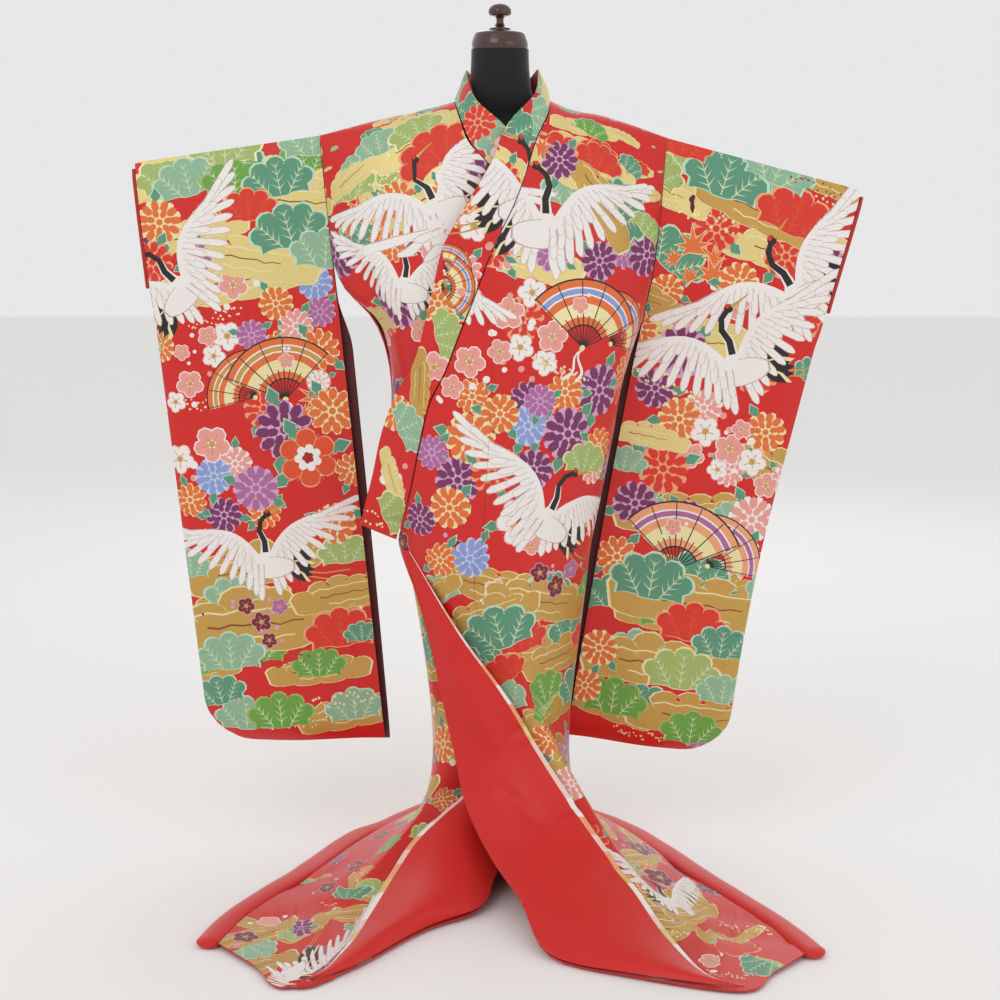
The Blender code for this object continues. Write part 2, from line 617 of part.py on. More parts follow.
def build_half(half):
    side = "left" if half.top else "right"
    waist = [-place for place in BODY_PLACES + SKIRT_PLACES]

    def keep_front(place, deep):
        """The inner skin stays on the front side of the shoulder and side seams."""
        if place[2] > WAIST_EDGE:
            deep[1] = min(deep[1], -SEAM_GAP / 2)
        return deep

    def keep_back(place, deep):
        """The inner skin stays behind the side seam and on its side of the centre back."""
        if place[2] > WAIST_EDGE:
            deep[1] = max(deep[1], SEAM_GAP / 2)
        deep[0] = half.sign * max(half.sign * deep[0], SEAM_GAP / 2)
        return deep

    def front_start(place):
        if place >= PANEL_TIP_LEVEL:
            return COLLAR_SEAM_SHARE * (1.0 + smooth_step((place - 1.2) / 0.5))
        return half.panel_share(place) + SEAM_SHARE

    back = strip_of_sheet(half, lambda place: SIDE_SHARE + SEAM_SHARE, lambda place: 1.0 - SEAM_SHARE)
    cloth_wall(f"back_{side}", back, spread(0, 1, 10), waist, CLOTH, "brocade", -half.sign, keep_back)
    front = strip_of_sheet(half, front_start, lambda place: SIDE_SHARE - SEAM_SHARE)
    cloth_wall(f"front_{side}", front, spread(0, 1, 10), waist, CLOTH, "brocade", -half.sign, keep_front)
    panel = strip_of_sheet(half, lambda place: COLLAR_SEAM_SHARE,
                           lambda place: half.panel_share(place) - SEAM_SHARE)
    panel_rows = [v for v in waist if v > -PANEL_TIP_LEVEL]
    cloth_wall(f"okumi_{side}", panel, spread(0, 1, 6), panel_rows, CLOTH, "brocade", -half.sign, keep_front)
    return side


def build_turn(half, side):
    """Front edge below the waist, turned outward with its lining to the viewer."""
    last = half.edge[-1][0]
    shares = spread(TURN_START[half.top], last - 0.004, 22)
    outer = []
    inner = []
    for share in shares:
        line = [half.turn_point(share, across, TURN_CLOTH + TURN_SEAT) for across in spread(0, 1, 7)]
        normal = half.turn_normal(share)
        outer.append(line)
        inner.append([point - normal * TURN_CLOTH for point in line])
    wall_from_grids(f"lining_turn_{side}", outer, inner, "red_silk")


def collar_rows(half):
    """Pairs of seam and free edge points, from the centre back round the neck to the lower end."""
    shoulder = half.collar[0]
    rows = []
    for turn in spread(0.0, NECK_TURN, NECK_ROWS):
        angle = math.pi / 2 * (1 - turn)
        level = NAPE_LEVEL + (2.0 - NAPE_LEVEL) * (1 - math.sin(angle))
        x = shoulder[0] * math.cos(angle)
        seam = ring_at(level).point(ring_at(level).angle(x, back=True))
        rise = COLLAR_RISE - COLLAR_RISE_LOSS * turn
        free_y = seam[1] * COLLAR_LEAN_BACK + 0.004 * (1 - turn)
        free = np.array((x * COLLAR_LEAN_ACROSS, free_y, seam[2] + rise))
        rows.append((seam, free))
    for seam_x, seam_z, free_x, free_z, lift in half.collar:
        seam = half.upper(0.0, min(level_of(seam_z, seam_x), 1.985))
        rows.append((seam, front_place(half, free_x, free_z, lift)))
    return rows


def front_place(half, x, z, lift):
    """Point off the front surface. Past the side it stays level with the last of the front."""
    level = max(min(level_of(z, x), 1.97), 0.0)
    ring = ring_at(level)
    limit = 0.90 * ring.half
    inside = max(ring.centre - limit, min(ring.centre + limit, x))
    place = ring_point(level, ring.angle(inside), front_lift(inside, half.top) + lift)
    return np.array((place[0] + x - inside, place[1], z))


def build_collar(half, side):
    rows = collar_rows(half)
    steps = np.arange(len(rows), dtype=float)
    seams = [row[0] for row in rows]
    frees = [row[1] for row in rows]

    def surface(u, v):
        seam = smooth_line(steps, seams, v)[0]
        free = smooth_line(steps, frees, v)[0]
        middle = seam + (free - seam) * u
        if 0 < u < 1 and v > NECK_STEPS:
            on_body = front_place(half, middle[0], middle[2], 0.0)
            middle[1] = min(middle[1], on_body[1])
        return middle

    base = COLLAR_BASE[half.top]
    crown = COLLAR_CROWN[half.top]

    def raised(u, v):
        shell = surface_normal(surface, u, v, 0.02, 0.02) * half.sign
        bulge = math.sin(math.pi * min(1.0, max(0.0, u)))
        return surface(u, v) + shell * (base + crown * bulge)

    def keep_side(place, deep):
        deep[0] = half.sign * max(half.sign * deep[0], SEAM_GAP / 2) if place[1] > 0 else deep[0]
        return deep

    vs = spread(0.04, steps[-1], 41)
    cloth_wall(f"collar_{side}", raised, spread(0.022, 1, 5), vs, COLLAR_CLOTH, "brocade", half.sign, keep_side)


def sleeve_width(table, share):
    row = smooth_line([r[0] for r in table], [r[1:] for r in table], share)[0]
    return math.hypot(row[2] - row[0], row[3] - row[1])


class Sleeve:
    """Flat sleeve bag: x runs from the inner edge out, v down from the shoulder fold."""

    def __init__(self, table, sign):
        self.table = table
        self.sign = sign
        self.length = math.hypot(table[-1][1] - table[0][1], table[-1][2] - table[0][2])
        self.width = sleeve_width(table, 0.5)
        self.set_back = SLEEVE_SET_BACK[sign]

    def drop_limit(self, x):
        """Length of the sleeve at x, shortened by the round outer corner."""
        reach = x - (self.width - SLEEVE_CORNER)
        if reach <= 0:
            return self.length
        return self.length - SLEEVE_CORNER + math.sqrt(max(0.0, SLEEVE_CORNER ** 2 - reach ** 2))

    def seam_half(self, v):
        """Half the gap between the two skins where they are sewn, wider at the curved bottom."""
        return SLEEVE_SEAM_HALF * (1 + 2 * smooth_step((v - 0.9 * self.length) / (0.1 * self.length)))

    def depth(self, x, v):
        edge = min(self.width - x, self.length - v)
        if x > self.width - SLEEVE_CORNER and v > self.length - SLEEVE_CORNER:
            edge = SLEEVE_CORNER - math.hypot(x - self.width + SLEEVE_CORNER, v - self.length + SLEEVE_CORNER)
        side_open = 1.0 - smooth_step((v - MOUTH_LENGTH) / 0.07)
        edge = min(max(edge, 0.0) + side_open * SLEEVE_EDGE_REACH, self.length - v)
        round_edge = math.sqrt(max(0.0, 1 - (1 - min(1.0, edge / SLEEVE_EDGE_REACH)) ** 2))
        fold = math.sqrt(max(0.0, 1 - (1 - min(1.0, v / SLEEVE_FOLD_REACH)) ** 2))
        inner = smooth_step(x / 0.10)
        full = SLEEVE_SEAM_DEPTH + (SLEEVE_DEPTH - SLEEVE_SEAM_DEPTH) * inner
        return full * round_edge * fold

    def middle(self, x, v):
        """Middle plane with its soft hanging waves."""
        share = min(1.0, max(0.0, v / self.length))
        row = smooth_line([r[0] for r in self.table], [r[1:] for r in self.table], share)[0]
        part = x / self.width
        back = self.set_back * smooth_step((v - ARMHOLE_LENGTH) / 0.12) * (1 - part)
        wave = 0.006 * share * math.sin(2.6 * math.pi * part + 0.7) + back
        return np.array((row[0] + (row[2] - row[0]) * part, wave, row[1] + (row[3] - row[1]) * part))

    def point(self, x, v, face):
        """Face -1 is the front skin and +1 the back skin."""
        shift = 0.0
        if face > 0:
            shift = -FURI_SHIFT * smooth_step((v - ARMHOLE_LENGTH - 0.06) / 0.10) * (1 - smooth_step(x / 0.12))
            shift *= 1 - 0.5 * (v / self.length) ** 2
        place = self.middle(x + shift, v)
        place[1] += face * max(self.depth(x, v) / 2, self.seam_half(v))
        return place


def build_sleeve(table, sign, side):
    sleeve = Sleeve(table, sign)
    xs = list(SLEEVE_COLUMNS)
    xs += [sleeve.width - SLEEVE_CORNER * (1 - math.sin(turn)) for turn in CORNER_TURNS]
    for face, name in ((-1, "front"), (1, "back")):
        outer = []
        inner = []
        for down in SLEEVE_ROWS:
            row = []
            deep = []
            for x in xs:
                v = down * sleeve.drop_limit(x)
                place = sleeve.point(x, v, face)
                along = (sleeve.point(min(x + NORMAL_STEP, sleeve.width), v, face)
                         - sleeve.point(max(x - NORMAL_STEP, 0), v, face))
                drop = (sleeve.point(x, min(v + NORMAL_STEP, sleeve.length), face)
                        - sleeve.point(x, max(v - NORMAL_STEP, 0), face))
                normal = unit(np.cross(along, drop))
                normal = normal if normal[1] * face > 0 else -normal
                under = place - normal * CLOTH
                limit = sleeve.middle(x, v)[1] + face * sleeve.seam_half(v)
                under[1] = max(under[1], limit) if face > 0 else min(under[1], limit)
                row.append(place)
                deep.append(under)
            outer.append(row)
            inner.append(deep)
        wall_from_grids(f"sleeve_{side}_{name}", outer, inner, "brocade")
    build_mouth(sleeve, side)
    build_furi(sleeve, side)


def tube(name, path, half_width, half_height, sides, material, flat_up=None):
    """Closed tube round a path, with flat ends."""
    mesh = bmesh.new()
    rings = []
    for i, place in enumerate(path):
        ahead = path[min(i + 1, len(path) - 1)]
        behind = path[max(i - 1, 0)]
        along = unit(ahead - behind)
        up = np.array(flat_up) if flat_up is not None else np.array((0.0, 1.0, 0.0))
        side = unit(np.cross(along, up))
        up = unit(np.cross(side, along))
        ring = []
        for k in range(sides):
            angle = 2 * math.pi * k / sides
            point = place + side * math.cos(angle) * half_width + up * math.sin(angle) * half_height
            ring.append(mesh.verts.new(Vector(point)))
        rings.append(ring)
    for lower, upper in zip(rings, rings[1:]):
        for k in range(sides):
            j = (k + 1) % sides
            mesh.faces.new((lower[k], lower[j], upper[j], upper[k]))
    mesh.faces.new(rings[0][::-1])
    mesh.faces.new(rings[-1])
    bmesh.ops.triangulate(mesh, faces=mesh.faces[:])
    bmesh.ops.recalc_face_normals(mesh, faces=mesh.faces[:])
    return finish_piece(name, mesh, material)


def build_mouth(sleeve, side):
    """Padded piping round the sleeve mouth: down the front edge and up the back edge."""
    reach = sleeve.width + MOUTH_ROLL_RADIUS + 0.0004
    path = []
    for face, downs in ((-1, spread(MOUTH_TOP, MOUTH_LENGTH, 8)), (1, spread(MOUTH_LENGTH, MOUTH_TOP, 8))):
        for down in downs:
            place = sleeve.middle(reach, down)
            half_open = max(sleeve.depth(sleeve.width - 0.001, down) / 2 - 0.001, MOUTH_HALF_OPEN)
            place[1] += face * half_open
            path.append(place)
    tube(f"mouth_roll_{side}", path, MOUTH_ROLL_RADIUS, MOUTH_ROLL_RADIUS, 6, "red_silk", (1.0, 0.0, 0.001))


def build_furi(sleeve, side):
    """Facing inside the back layer along the open inner edge of the sleeve."""
    outer = []
    inner = []
    for v in spread(FURI_TOP, sleeve.length - FURI_END_MARGIN, 14):
        row = []
        deep = []
        for x in spread(FURI_EDGE, FURI_WIDTH, 4):
            place = sleeve.point(x, v, 1)
            place[1] -= CLOTH + FURI_SEAT[sleeve.sign]
            row.append(place - np.array((0.0, LINING_CLOTH, 0.0)))
            deep.append(place)
        outer.append(row)
        inner.append(deep)
    wall_from_grids(f"sleeve_lining_{side}", outer, inner, "dark_silk")


def build_hem(half, side):
    """Padded roll of lining that edges the hem."""
    path = []
    half_width = HEM_ROLL_WIDTH / 2 - HEM_ROLL_PLAY
    for share in spread(HEM_ROLL_START, HEM_ROLL_END, 27):
        place, inward, along = half.hem_point(share)
        centre = place + inward * half_width
        path.append(np.array((centre[0], centre[1], HEM_ROLL_HEIGHT / 2 + HEM_ROLL_PLAY)))
    tube(f"hem_roll_{side}", path, half_width, HEM_ROLL_HEIGHT / 2, 10, "red_silk", (0.0, 0.0, 1.0))


def turned(name, profile, sides, material):
    """Solid turned about the vertical axis from a profile of radius and height."""
    mesh = bmesh.new()
    rings = []
    for radius, height in profile:
        if radius == 0.0:
            rings.append([mesh.verts.new((0.0, 0.0, height))])
            continue
        rings.append([mesh.verts.new((radius * math.cos(2 * math.pi * k / sides),
                                      radius * math.sin(2 * math.pi * k / sides), height))
                      for k in range(sides)])
    for lower, upper in zip(rings, rings[1:]):
        for k in range(sides):
            j = (k + 1) % sides
            corners = [lower[k % len(lower)], lower[j % len(lower)]]
            corners += [upper[j % len(upper)], upper[k % len(upper)]]
            unique = list(dict.fromkeys(corners))
            mesh.faces.new(unique)
    bmesh.ops.triangulate(mesh, faces=mesh.faces[:])
    bmesh.ops.recalc_face_normals(mesh, faces=mesh.faces[:])
    return finish_piece(name, mesh, material)


def build_form():
    """Limbless torso with its neck, the turned cap and knob, the pole and the round base."""
    mesh = bmesh.new()
    sides = 28
    rings = []
    for height, half_width, half_depth, centre in FORM_RINGS:
        rings.append([mesh.verts.new((half_width * math.cos(2 * math.pi * k / sides),
                                      centre + half_depth * math.sin(2 * math.pi * k / sides), height))
                      for k in range(sides)])
    for lower, upper in zip(rings, rings[1:]):
        for k in range(sides):
            j = (k + 1) % sides
            mesh.faces.new((lower[k], lower[j], upper[j], upper[k]))
    mesh.faces.new(rings[0][::-1])
    mesh.faces.new(rings[-1])
    bmesh.ops.triangulate(mesh, faces=mesh.faces[:])
    bmesh.ops.recalc_face_normals(mesh, faces=mesh.faces[:])
    finish_piece("form_torso", mesh, "black_velvet")
    turned("form_cap", CAP_PROFILE, 24, "turned_wood")
    turned("form_knob", KNOB_PROFILE, 20, "turned_wood")
    torso_bottom = FORM_RINGS[0][0]
    turned("form_pole", ((0.0, BASE_HEIGHT + 0.0003), (POLE_RADIUS, BASE_HEIGHT + 0.0003),
                         (POLE_RADIUS, torso_bottom - 0.0003), (0.0, torso_bottom - 0.0003)), 16, "stand_metal")
    turned("form_base", ((0.0, 0.0), (BASE_RADIUS, 0.0), (BASE_RADIUS, BASE_HEIGHT * 0.6),
                         (BASE_RADIUS - 0.006, BASE_HEIGHT), (0.0, BASE_HEIGHT)), 32, "stand_metal")


def main():
    for old in list(bpy.data.objects):
        bpy.data.objects.remove(old, do_unlink=True)
    for top in (True, False):
        half = Half(top)
        side = build_half(half)
        build_turn(half, side)
        build_collar(half, side)
        build_hem(half, side)
    build_sleeve(SLEEVE_RIGHT, -1, "right")
    build_sleeve(SLEEVE_LEFT, 1, "left")
    build_form()


main()
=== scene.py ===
"""Looks of the uchikake wedding kimono on its dress form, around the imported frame.

The cloth's surfaces are worked out from the same sizes as the solids. Each brocade panel is
flattened to a chart, its motifs are cut into that chart as shapes of coloured thread, and the
result is laid back on the panel's surface.
"""

import math
import random
from functools import lru_cache

import bmesh
import bpy
import numpy as np
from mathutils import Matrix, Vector
from mathutils.geometry import delaunay_2d_cdt


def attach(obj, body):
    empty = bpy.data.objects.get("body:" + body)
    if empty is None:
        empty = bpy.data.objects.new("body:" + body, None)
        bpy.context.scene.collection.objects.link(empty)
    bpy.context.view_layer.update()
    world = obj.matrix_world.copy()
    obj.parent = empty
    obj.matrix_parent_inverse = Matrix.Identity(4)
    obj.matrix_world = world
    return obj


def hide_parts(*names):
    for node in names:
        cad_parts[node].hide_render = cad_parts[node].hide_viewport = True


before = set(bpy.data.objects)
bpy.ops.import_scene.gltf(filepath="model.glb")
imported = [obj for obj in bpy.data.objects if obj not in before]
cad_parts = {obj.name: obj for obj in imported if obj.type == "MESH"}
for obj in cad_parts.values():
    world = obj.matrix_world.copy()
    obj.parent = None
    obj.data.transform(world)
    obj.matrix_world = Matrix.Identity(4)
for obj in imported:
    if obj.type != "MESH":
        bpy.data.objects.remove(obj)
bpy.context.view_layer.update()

# Driving sizes
CLOTH = 0.0022
COLLAR_CLOTH = 0.0040
TURN_CLOTH = 0.0030
WRAP_LIFT = 0.0090
HEM_ROLL_WIDTH = 0.042
HEM_ROLL_HEIGHT = 0.018
MOUTH_ROLL_RADIUS = 0.0032
MOUTH_LENGTH = 0.23
ARMHOLE_LENGTH = 0.225
LINING_CLOTH = 0.0012
CHEST_TOP = 1.16
WAIST_EDGE = 0.60
POLE_RADIUS = 0.016
BASE_RADIUS = 0.115
BASE_HEIGHT = 0.014

# Body sections: height, left side, right side, front depth, back depth, roundness, armhole half gap
RINGS = (
    (0.600, -0.180, 0.170, 0.128, 0.122, 2.10, 0.0003),
    (0.660, -0.193, 0.182, 0.130, 0.124, 2.10, 0.0003),
    (0.720, -0.203, 0.193, 0.132, 0.125, 2.10, 0.0003),
    (0.790, -0.200, 0.206, 0.132, 0.122, 2.10, 0.0003),
    (0.880, -0.197, 0.221, 0.132, 0.118, 2.00, 0.0003),
    (0.930, -0.204, 0.235, 0.132, 0.120, 1.95, 0.0003),
    (1.000, -0.232, 0.257, 0.132, 0.124, 1.75, 0.0010),
    (1.048, -0.277, 0.2665, 0.130, 0.128, 1.60, 0.0060),
    (1.100, -0.2980, 0.2755, 0.126, 0.130, 1.50, 0.0110),
    (1.160, -0.3040, 0.2830, 0.122, 0.128, 1.45, 0.0120),
)

# Shoulder line: across, height
SHOULDER = (
    (-0.3195, 1.3205), (-0.230, 1.344), (-0.142, 1.364), (-0.097, 1.374), (0.0, 1.405),
    (0.0886, 1.381), (0.120, 1.367), (0.177, 1.356), (0.248, 1.334), (0.2955, 1.3165),
)

# Collar of the top front: seam across, seam height, free edge across, height, lift off the body
COLLAR_TOP = (
    (0.0886, 1.381, 0.0640, 1.432, 0.004),
    (0.0810, 1.352, 0.0480, 1.392, 0.040),
    (0.0620, 1.312, 0.0106, 1.340, 0.022),
    (0.0440, 1.255, -0.0145, 1.274, 0.016),
    (0.0245, 1.203, -0.0410, 1.227, 0.012),
    (0.0000, 1.153, -0.0695, 1.178, 0.011),
    (-0.0220, 1.100, -0.0950, 1.129, 0.010),
    (-0.0435, 1.042, -0.1090, 1.070, 0.010),
    (-0.0660, 0.985, -0.1230, 1.001, 0.010),
    (-0.0930, 0.912, -0.1400, 0.932, 0.010),
    (-0.1190, 0.858, -0.1690, 0.872, 0.010),
    (-0.1360, 0.786, -0.1950, 0.800, 0.010),
    (-0.1510, 0.712, -0.2120, 0.724, 0.010),
    (-0.1640, 0.655, -0.2260, 0.672, 0.010),
    (-0.1770, 0.606, -0.2350, 0.632, 0.010),
)

# Collar of the front beneath, from the shoulder to its hidden end
COLLAR_UNDER = (
    (-0.0800, 1.379, -0.0570, 1.430, 0.004),
    (-0.0690, 1.350, -0.0330, 1.385, 0.040),
    (-0.0500, 1.305, 0.0060, 1.338, 0.018),
    (-0.0140, 1.262, 0.0350, 1.300, 0.006),
    (0.0000, 1.200, 0.0600, 1.225, 0.001),
    (0.0200, 1.110, 0.0840, 1.130, 0.000),
    (0.0440, 1.020, 0.1080, 1.030, 0.000),
    (0.0660, 0.920, 0.1300, 0.928, 0.000),
    (0.0850, 0.800, 0.1460, 0.806, 0.000),
    (0.0980, 0.700, 0.1500, 0.704, 0.000),
    (0.1100, 0.606, 0.1530, 0.610, 0.000),
)

# Overlap seam on the top front and on the front beneath: height, across
PANEL_SEAM_TOP = (
    (1.100, -0.010), (0.980, -0.013), (0.850, -0.015), (0.720, -0.024), (0.600, -0.031),
)
PANEL_SEAM_UNDER = (
    (1.100, 0.006), (0.980, 0.004), (0.850, 0.000), (0.720, 0.000), (0.600, 0.000),
)

# Turned-back front edge, from waist to toe: share, fold x, y, z, then free edge x, y, z
EDGE_TOP = (
    (0.000, -0.180, -0.052, 0.600, -0.168, -0.066, 0.597),
    (0.160, -0.128, -0.085, 0.430, -0.061, -0.125, 0.434),
    (0.255, -0.103, -0.108, 0.318, 0.015, -0.150, 0.335),
    (0.355, -0.081, -0.130, 0.222, 0.080, -0.180, 0.233),
    (0.420, -0.063, -0.170, 0.148, 0.124, -0.215, 0.173),
    (0.495, -0.028, -0.245, 0.090, 0.174, -0.280, 0.115),
    (0.600, 0.032, -0.395, 0.052, 0.235, -0.390, 0.060),
    (0.700, 0.090, -0.545, 0.010, 0.283, -0.510, 0.024),
    (0.770, 0.215, -0.612, 0.009, 0.325, -0.620, 0.013),
    (0.842, 0.3764, -0.668, 0.009, 0.3840, -0.664, 0.010),
)
EDGE_UNDER = (
    (0.000, 0.110, -0.087, 0.600, 0.102, -0.090, 0.600),
    (0.130, 0.095, -0.079, 0.430, 0.045, -0.103, 0.430),
    (0.275, 0.070, -0.086, 0.250, 0.005, -0.122, 0.245),
    (0.367, 0.060, -0.098, 0.150, -0.071, -0.114, 0.138),
    (0.430, 0.040, -0.125, 0.095, -0.121, -0.145, 0.103),
    (0.480, 0.020, -0.165, 0.062, -0.160, -0.195, 0.077),
    (0.540, -0.006, -0.240, 0.038, -0.191, -0.265, 0.048),
    (0.630, -0.036, -0.345, 0.016, -0.229, -0.405, 0.024),
    (0.720, -0.140, -0.440, 0.009, -0.2559, -0.535, 0.0160),
    (0.770, -0.239, -0.585, 0.009, -0.2850, -0.615, 0.0120),
    (0.824, -0.328, -0.652, 0.009, -0.3350, -0.648, 0.0100),
)

# Lower skirt: share, then x, y, z of the front, side, back quarter and centre back
SKIRT_TOP = (
    (0.160, 0.050, -0.126, 0.440, 0.152, 0.000, 0.450, 0.082, 0.104, 0.455, 0.000, 0.116, 0.460),
    (0.355, 0.105, -0.105, 0.240, 0.128, 0.002, 0.245, 0.072, 0.090, 0.275, 0.000, 0.108, 0.300),
    (0.495, 0.165, -0.150, 0.105, 0.122, 0.006, 0.125, 0.080, 0.105, 0.150, 0.000, 0.120, 0.170),
    (0.600, 0.235, -0.225, 0.046, 0.136, 0.010, 0.088, 0.088, 0.120, 0.090, 0.000, 0.140, 0.095),
    (0.700, 0.300, -0.270, 0.024, 0.175, 0.020, 0.060, 0.102, 0.142, 0.052, 0.000, 0.168, 0.045),
    (0.842, 0.345, -0.262, 0.016, 0.232, 0.034, 0.028, 0.125, 0.168, 0.024, 0.000, 0.208, 0.020),
)
SKIRT_UNDER = (
    (0.130, -0.050, -0.097, 0.440, -0.151, 0.000, 0.450, -0.082, 0.104, 0.455, 0.000, 0.116, 0.460),
    (0.275, -0.090, -0.088, 0.250, -0.126, 0.002, 0.252, -0.074, 0.092, 0.275, 0.000, 0.109, 0.300),
    (0.430, -0.150, -0.110, 0.105, -0.126, 0.006, 0.118, -0.082, 0.105, 0.150, 0.000, 0.120, 0.170),
    (0.540, -0.225, -0.205, 0.046, -0.146, 0.010, 0.080, -0.090, 0.120, 0.090, 0.000, 0.140, 0.095),
    (0.720, -0.290, -0.255, 0.022, -0.180, 0.024, 0.045, -0.104, 0.142, 0.052, 0.000, 0.168, 0.045),
    (0.824, -0.330, -0.252, 0.016, -0.222, 0.040, 0.026, -0.128, 0.168, 0.024, 0.000, 0.208, 0.020),
)
SKIRT_SHARES = (0.0, 0.18, 0.40, 0.62, 0.82, 1.0)
SIDE_SHARE = 0.62
WAIST_BLEND = 0.12
HEM_BLEND = 0.14
FOLD_DROP = 0.0035
FREE_DROP = 0.018
FLOOR_CLOTH = 0.007
HEM_SEAT_HEIGHT = 0.0119

# Hem on the floor, from the toe of the front edge to the centre back: x, y
HEM_TOP = (
    (0.537, -0.530), (0.486, -0.386), (0.434, -0.276), (0.381, -0.165), (0.339, -0.067),
    (0.306, 0.003), (0.266, 0.081), (0.215, 0.150), (0.150, 0.215), (0.080, 0.262), (0.0, 0.285),
)
HEM_UNDER = (
    (-0.506, -0.490), (-0.473, -0.360), (-0.429, -0.257), (-0.383, -0.165), (-0.344, -0.072),
    (-0.310, 0.009), (-0.281, 0.063), (-0.242, 0.104), (-0.200, 0.165), (-0.155, 0.222),
    (-0.080, 0.268), (0.0, 0.285),
)

# Sleeves: share down, inner edge x, z, outer edge x, z
SLEEVE_RIGHT = (
    (0.0, -0.3200, 1.3205, -0.6480, 1.2740),
    (0.2, -0.2990, 1.0984, -0.6268, 1.0612),
    (1.0, -0.2150, 0.2100, -0.5420, 0.2100),
)
SLEEVE_LEFT = (
    (0.0, 0.2960, 1.3165, 0.6425, 1.2250),
    (0.2, 0.2765, 1.0952, 0.5860, 1.0162),
    (0.4, 0.2350, 0.8739, 0.5350, 0.8074),
    (0.6, 0.1960, 0.6526, 0.4860, 0.5986),
    (0.8, 0.1600, 0.4313, 0.4490, 0.3898),
    (1.0, 0.1250, 0.2100, 0.4210, 0.1810),
)
SLEEVE_CORNER = 0.090
SLEEVE_SEAM_HALF = 0.0003
SLEEVE_DEPTH = 0.034
SLEEVE_SEAM_DEPTH = 0.024
SLEEVE_FOLD_REACH = 0.15
SLEEVE_EDGE_REACH = 0.05
FURI_SHIFT = 0.018
SLEEVE_SET_BACK = {-1: 0.012, 1: 0.034}

# Facing of the sleeve's open inner edge, and piping of its mouth
FURI_TOP = ARMHOLE_LENGTH + 0.15
FURI_END_MARGIN = 0.060
FURI_EDGE = 0.002
FURI_WIDTH = 0.050
FURI_SEAT = {-1: 0.0016, 1: 0.0026}
MOUTH_TOP = 0.012
MOUTH_HALF_OPEN = 0.0055

# Levels of the nape and of the overlap panel's tip, and the sheet's share kept at each seam
NAPE_LEVEL = 1.467
PANEL_TIP_LEVEL = 0.86
PANEL_TIP_REACH = 0.20
PANEL_TIP_SHARE = 0.006
PANEL_SEAM_PLACES = (-1.0, -0.6, -0.35, -0.16, 0.0)
PANEL_SEAM_SHARES = (0.24, 0.235, 0.23, 0.24)
SEAM_SHARE = 0.0003
COLLAR_SEAM_SHARE = 0.0016

# Collar round the back of the neck: rows, how far round, rise at the nape and at the shoulder
NECK_ROWS = 6
NECK_TURN = 0.86
NECK_STEPS = NECK_ROWS + 3
COLLAR_RISE = 0.070
COLLAR_RISE_LOSS = 0.018
COLLAR_LEAN_ACROSS = 0.74
COLLAR_LEAN_BACK = 0.86
COLLAR_BASE = {True: 0.0015, False: 0.0004}
COLLAR_CROWN = {True: 0.003, False: 0.0}

# Layer turned outward along the front edge
TURN_START = {True: 0.012, False: 0.055}
TURN_SEAT = 0.0006
TURN_BULGE = 0.09

# Hem roll: shares of the hem where it starts and ends, and its play at the floor and at the cloth
HEM_ROLL_START = 0.004
HEM_ROLL_END = 0.9935
HEM_ROLL_PLAY = 0.0002

# Form: height, half width, half depth, centre in depth
FORM_RINGS = (
    (0.715, 0.138, 0.090, 0.000), (0.730, 0.150, 0.100, 0.000), (0.800, 0.148, 0.100, 0.000),
    (0.880, 0.132, 0.092, 0.000), (0.950, 0.122, 0.086, 0.000), (1.020, 0.130, 0.092, 0.000),
    (1.100, 0.146, 0.104, 0.000), (1.160, 0.155, 0.108, 0.000), (1.220, 0.160, 0.098, 0.002),
    (1.270, 0.164, 0.082, 0.004), (1.300, 0.164, 0.072, 0.005), (1.325, 0.158, 0.061, 0.006),
    (1.340, 0.148, 0.053, 0.006), (1.352, 0.130, 0.046, 0.006), (1.360, 0.108, 0.045, 0.005),
    (1.368, 0.086, 0.047, 0.004), (1.378, 0.069, 0.049, 0.003), (1.392, 0.058, 0.050, 0.001),
    (1.420, 0.053, 0.050, 0.000), (1.450, 0.051, 0.049, 0.000), (1.4700, 0.0505, 0.0485, 0.000),
)
CAP_PROFILE = ((0.0, 1.4704), (0.0485, 1.4704), (0.0500, 1.4760), (0.0470, 1.4900), (0.0430, 1.4980),
               (0.0360, 1.5010), (0.0, 1.5010))
KNOB_PROFILE = ((0.0, 1.5014), (0.0185, 1.5014), (0.0190, 1.5050), (0.0110, 1.5090), (0.0065, 1.5160),
                (0.0075, 1.5240), (0.0190, 1.5290), (0.0205, 1.5350), (0.0165, 1.5430), (0.0070, 1.5480),
                (0.0, 1.5484))


def smooth_line(knots, values, where):
    """Cubic curve through the values at the knots, read at the given places."""
    knots = np.asarray(knots, float)
    values = np.asarray(values, float).reshape(len(knots), -1)
    where = np.atleast_1d(np.asarray(where, float))
    slopes = np.zeros_like(values)
    steps = np.diff(values, axis=0) / np.diff(knots)[:, None]
    slopes[0] = steps[0]
    slopes[-1] = steps[-1]
    for i in range(1, len(knots) - 1):
        before = knots[i] - knots[i - 1]
        after = knots[i + 1] - knots[i]
        slopes[i] = (steps[i - 1] * after + steps[i] * before) / (before + after)
    cell = np.clip(np.searchsorted(knots, where, side="right") - 1, 0, len(knots) - 2)
    span = (knots[cell + 1] - knots[cell])[:, None]
    t = ((where - knots[cell]) / span[:, 0])[:, None]
    t = np.clip(t, 0.0, 1.0)
    return ((2 * t ** 3 - 3 * t ** 2 + 1) * values[cell]
            + (t ** 3 - 2 * t ** 2 + t) * span * slopes[cell]
            + (3 * t ** 2 - 2 * t ** 3) * values[cell + 1]
            + (t ** 3 - t ** 2) * span * slopes[cell + 1])


def smooth_step(value):
    value = min(1.0, max(0.0, value))
    return value * value * (3.0 - 2.0 * value)


def unit(vector):
    return vector / max(np.linalg.norm(vector), 1e-12)


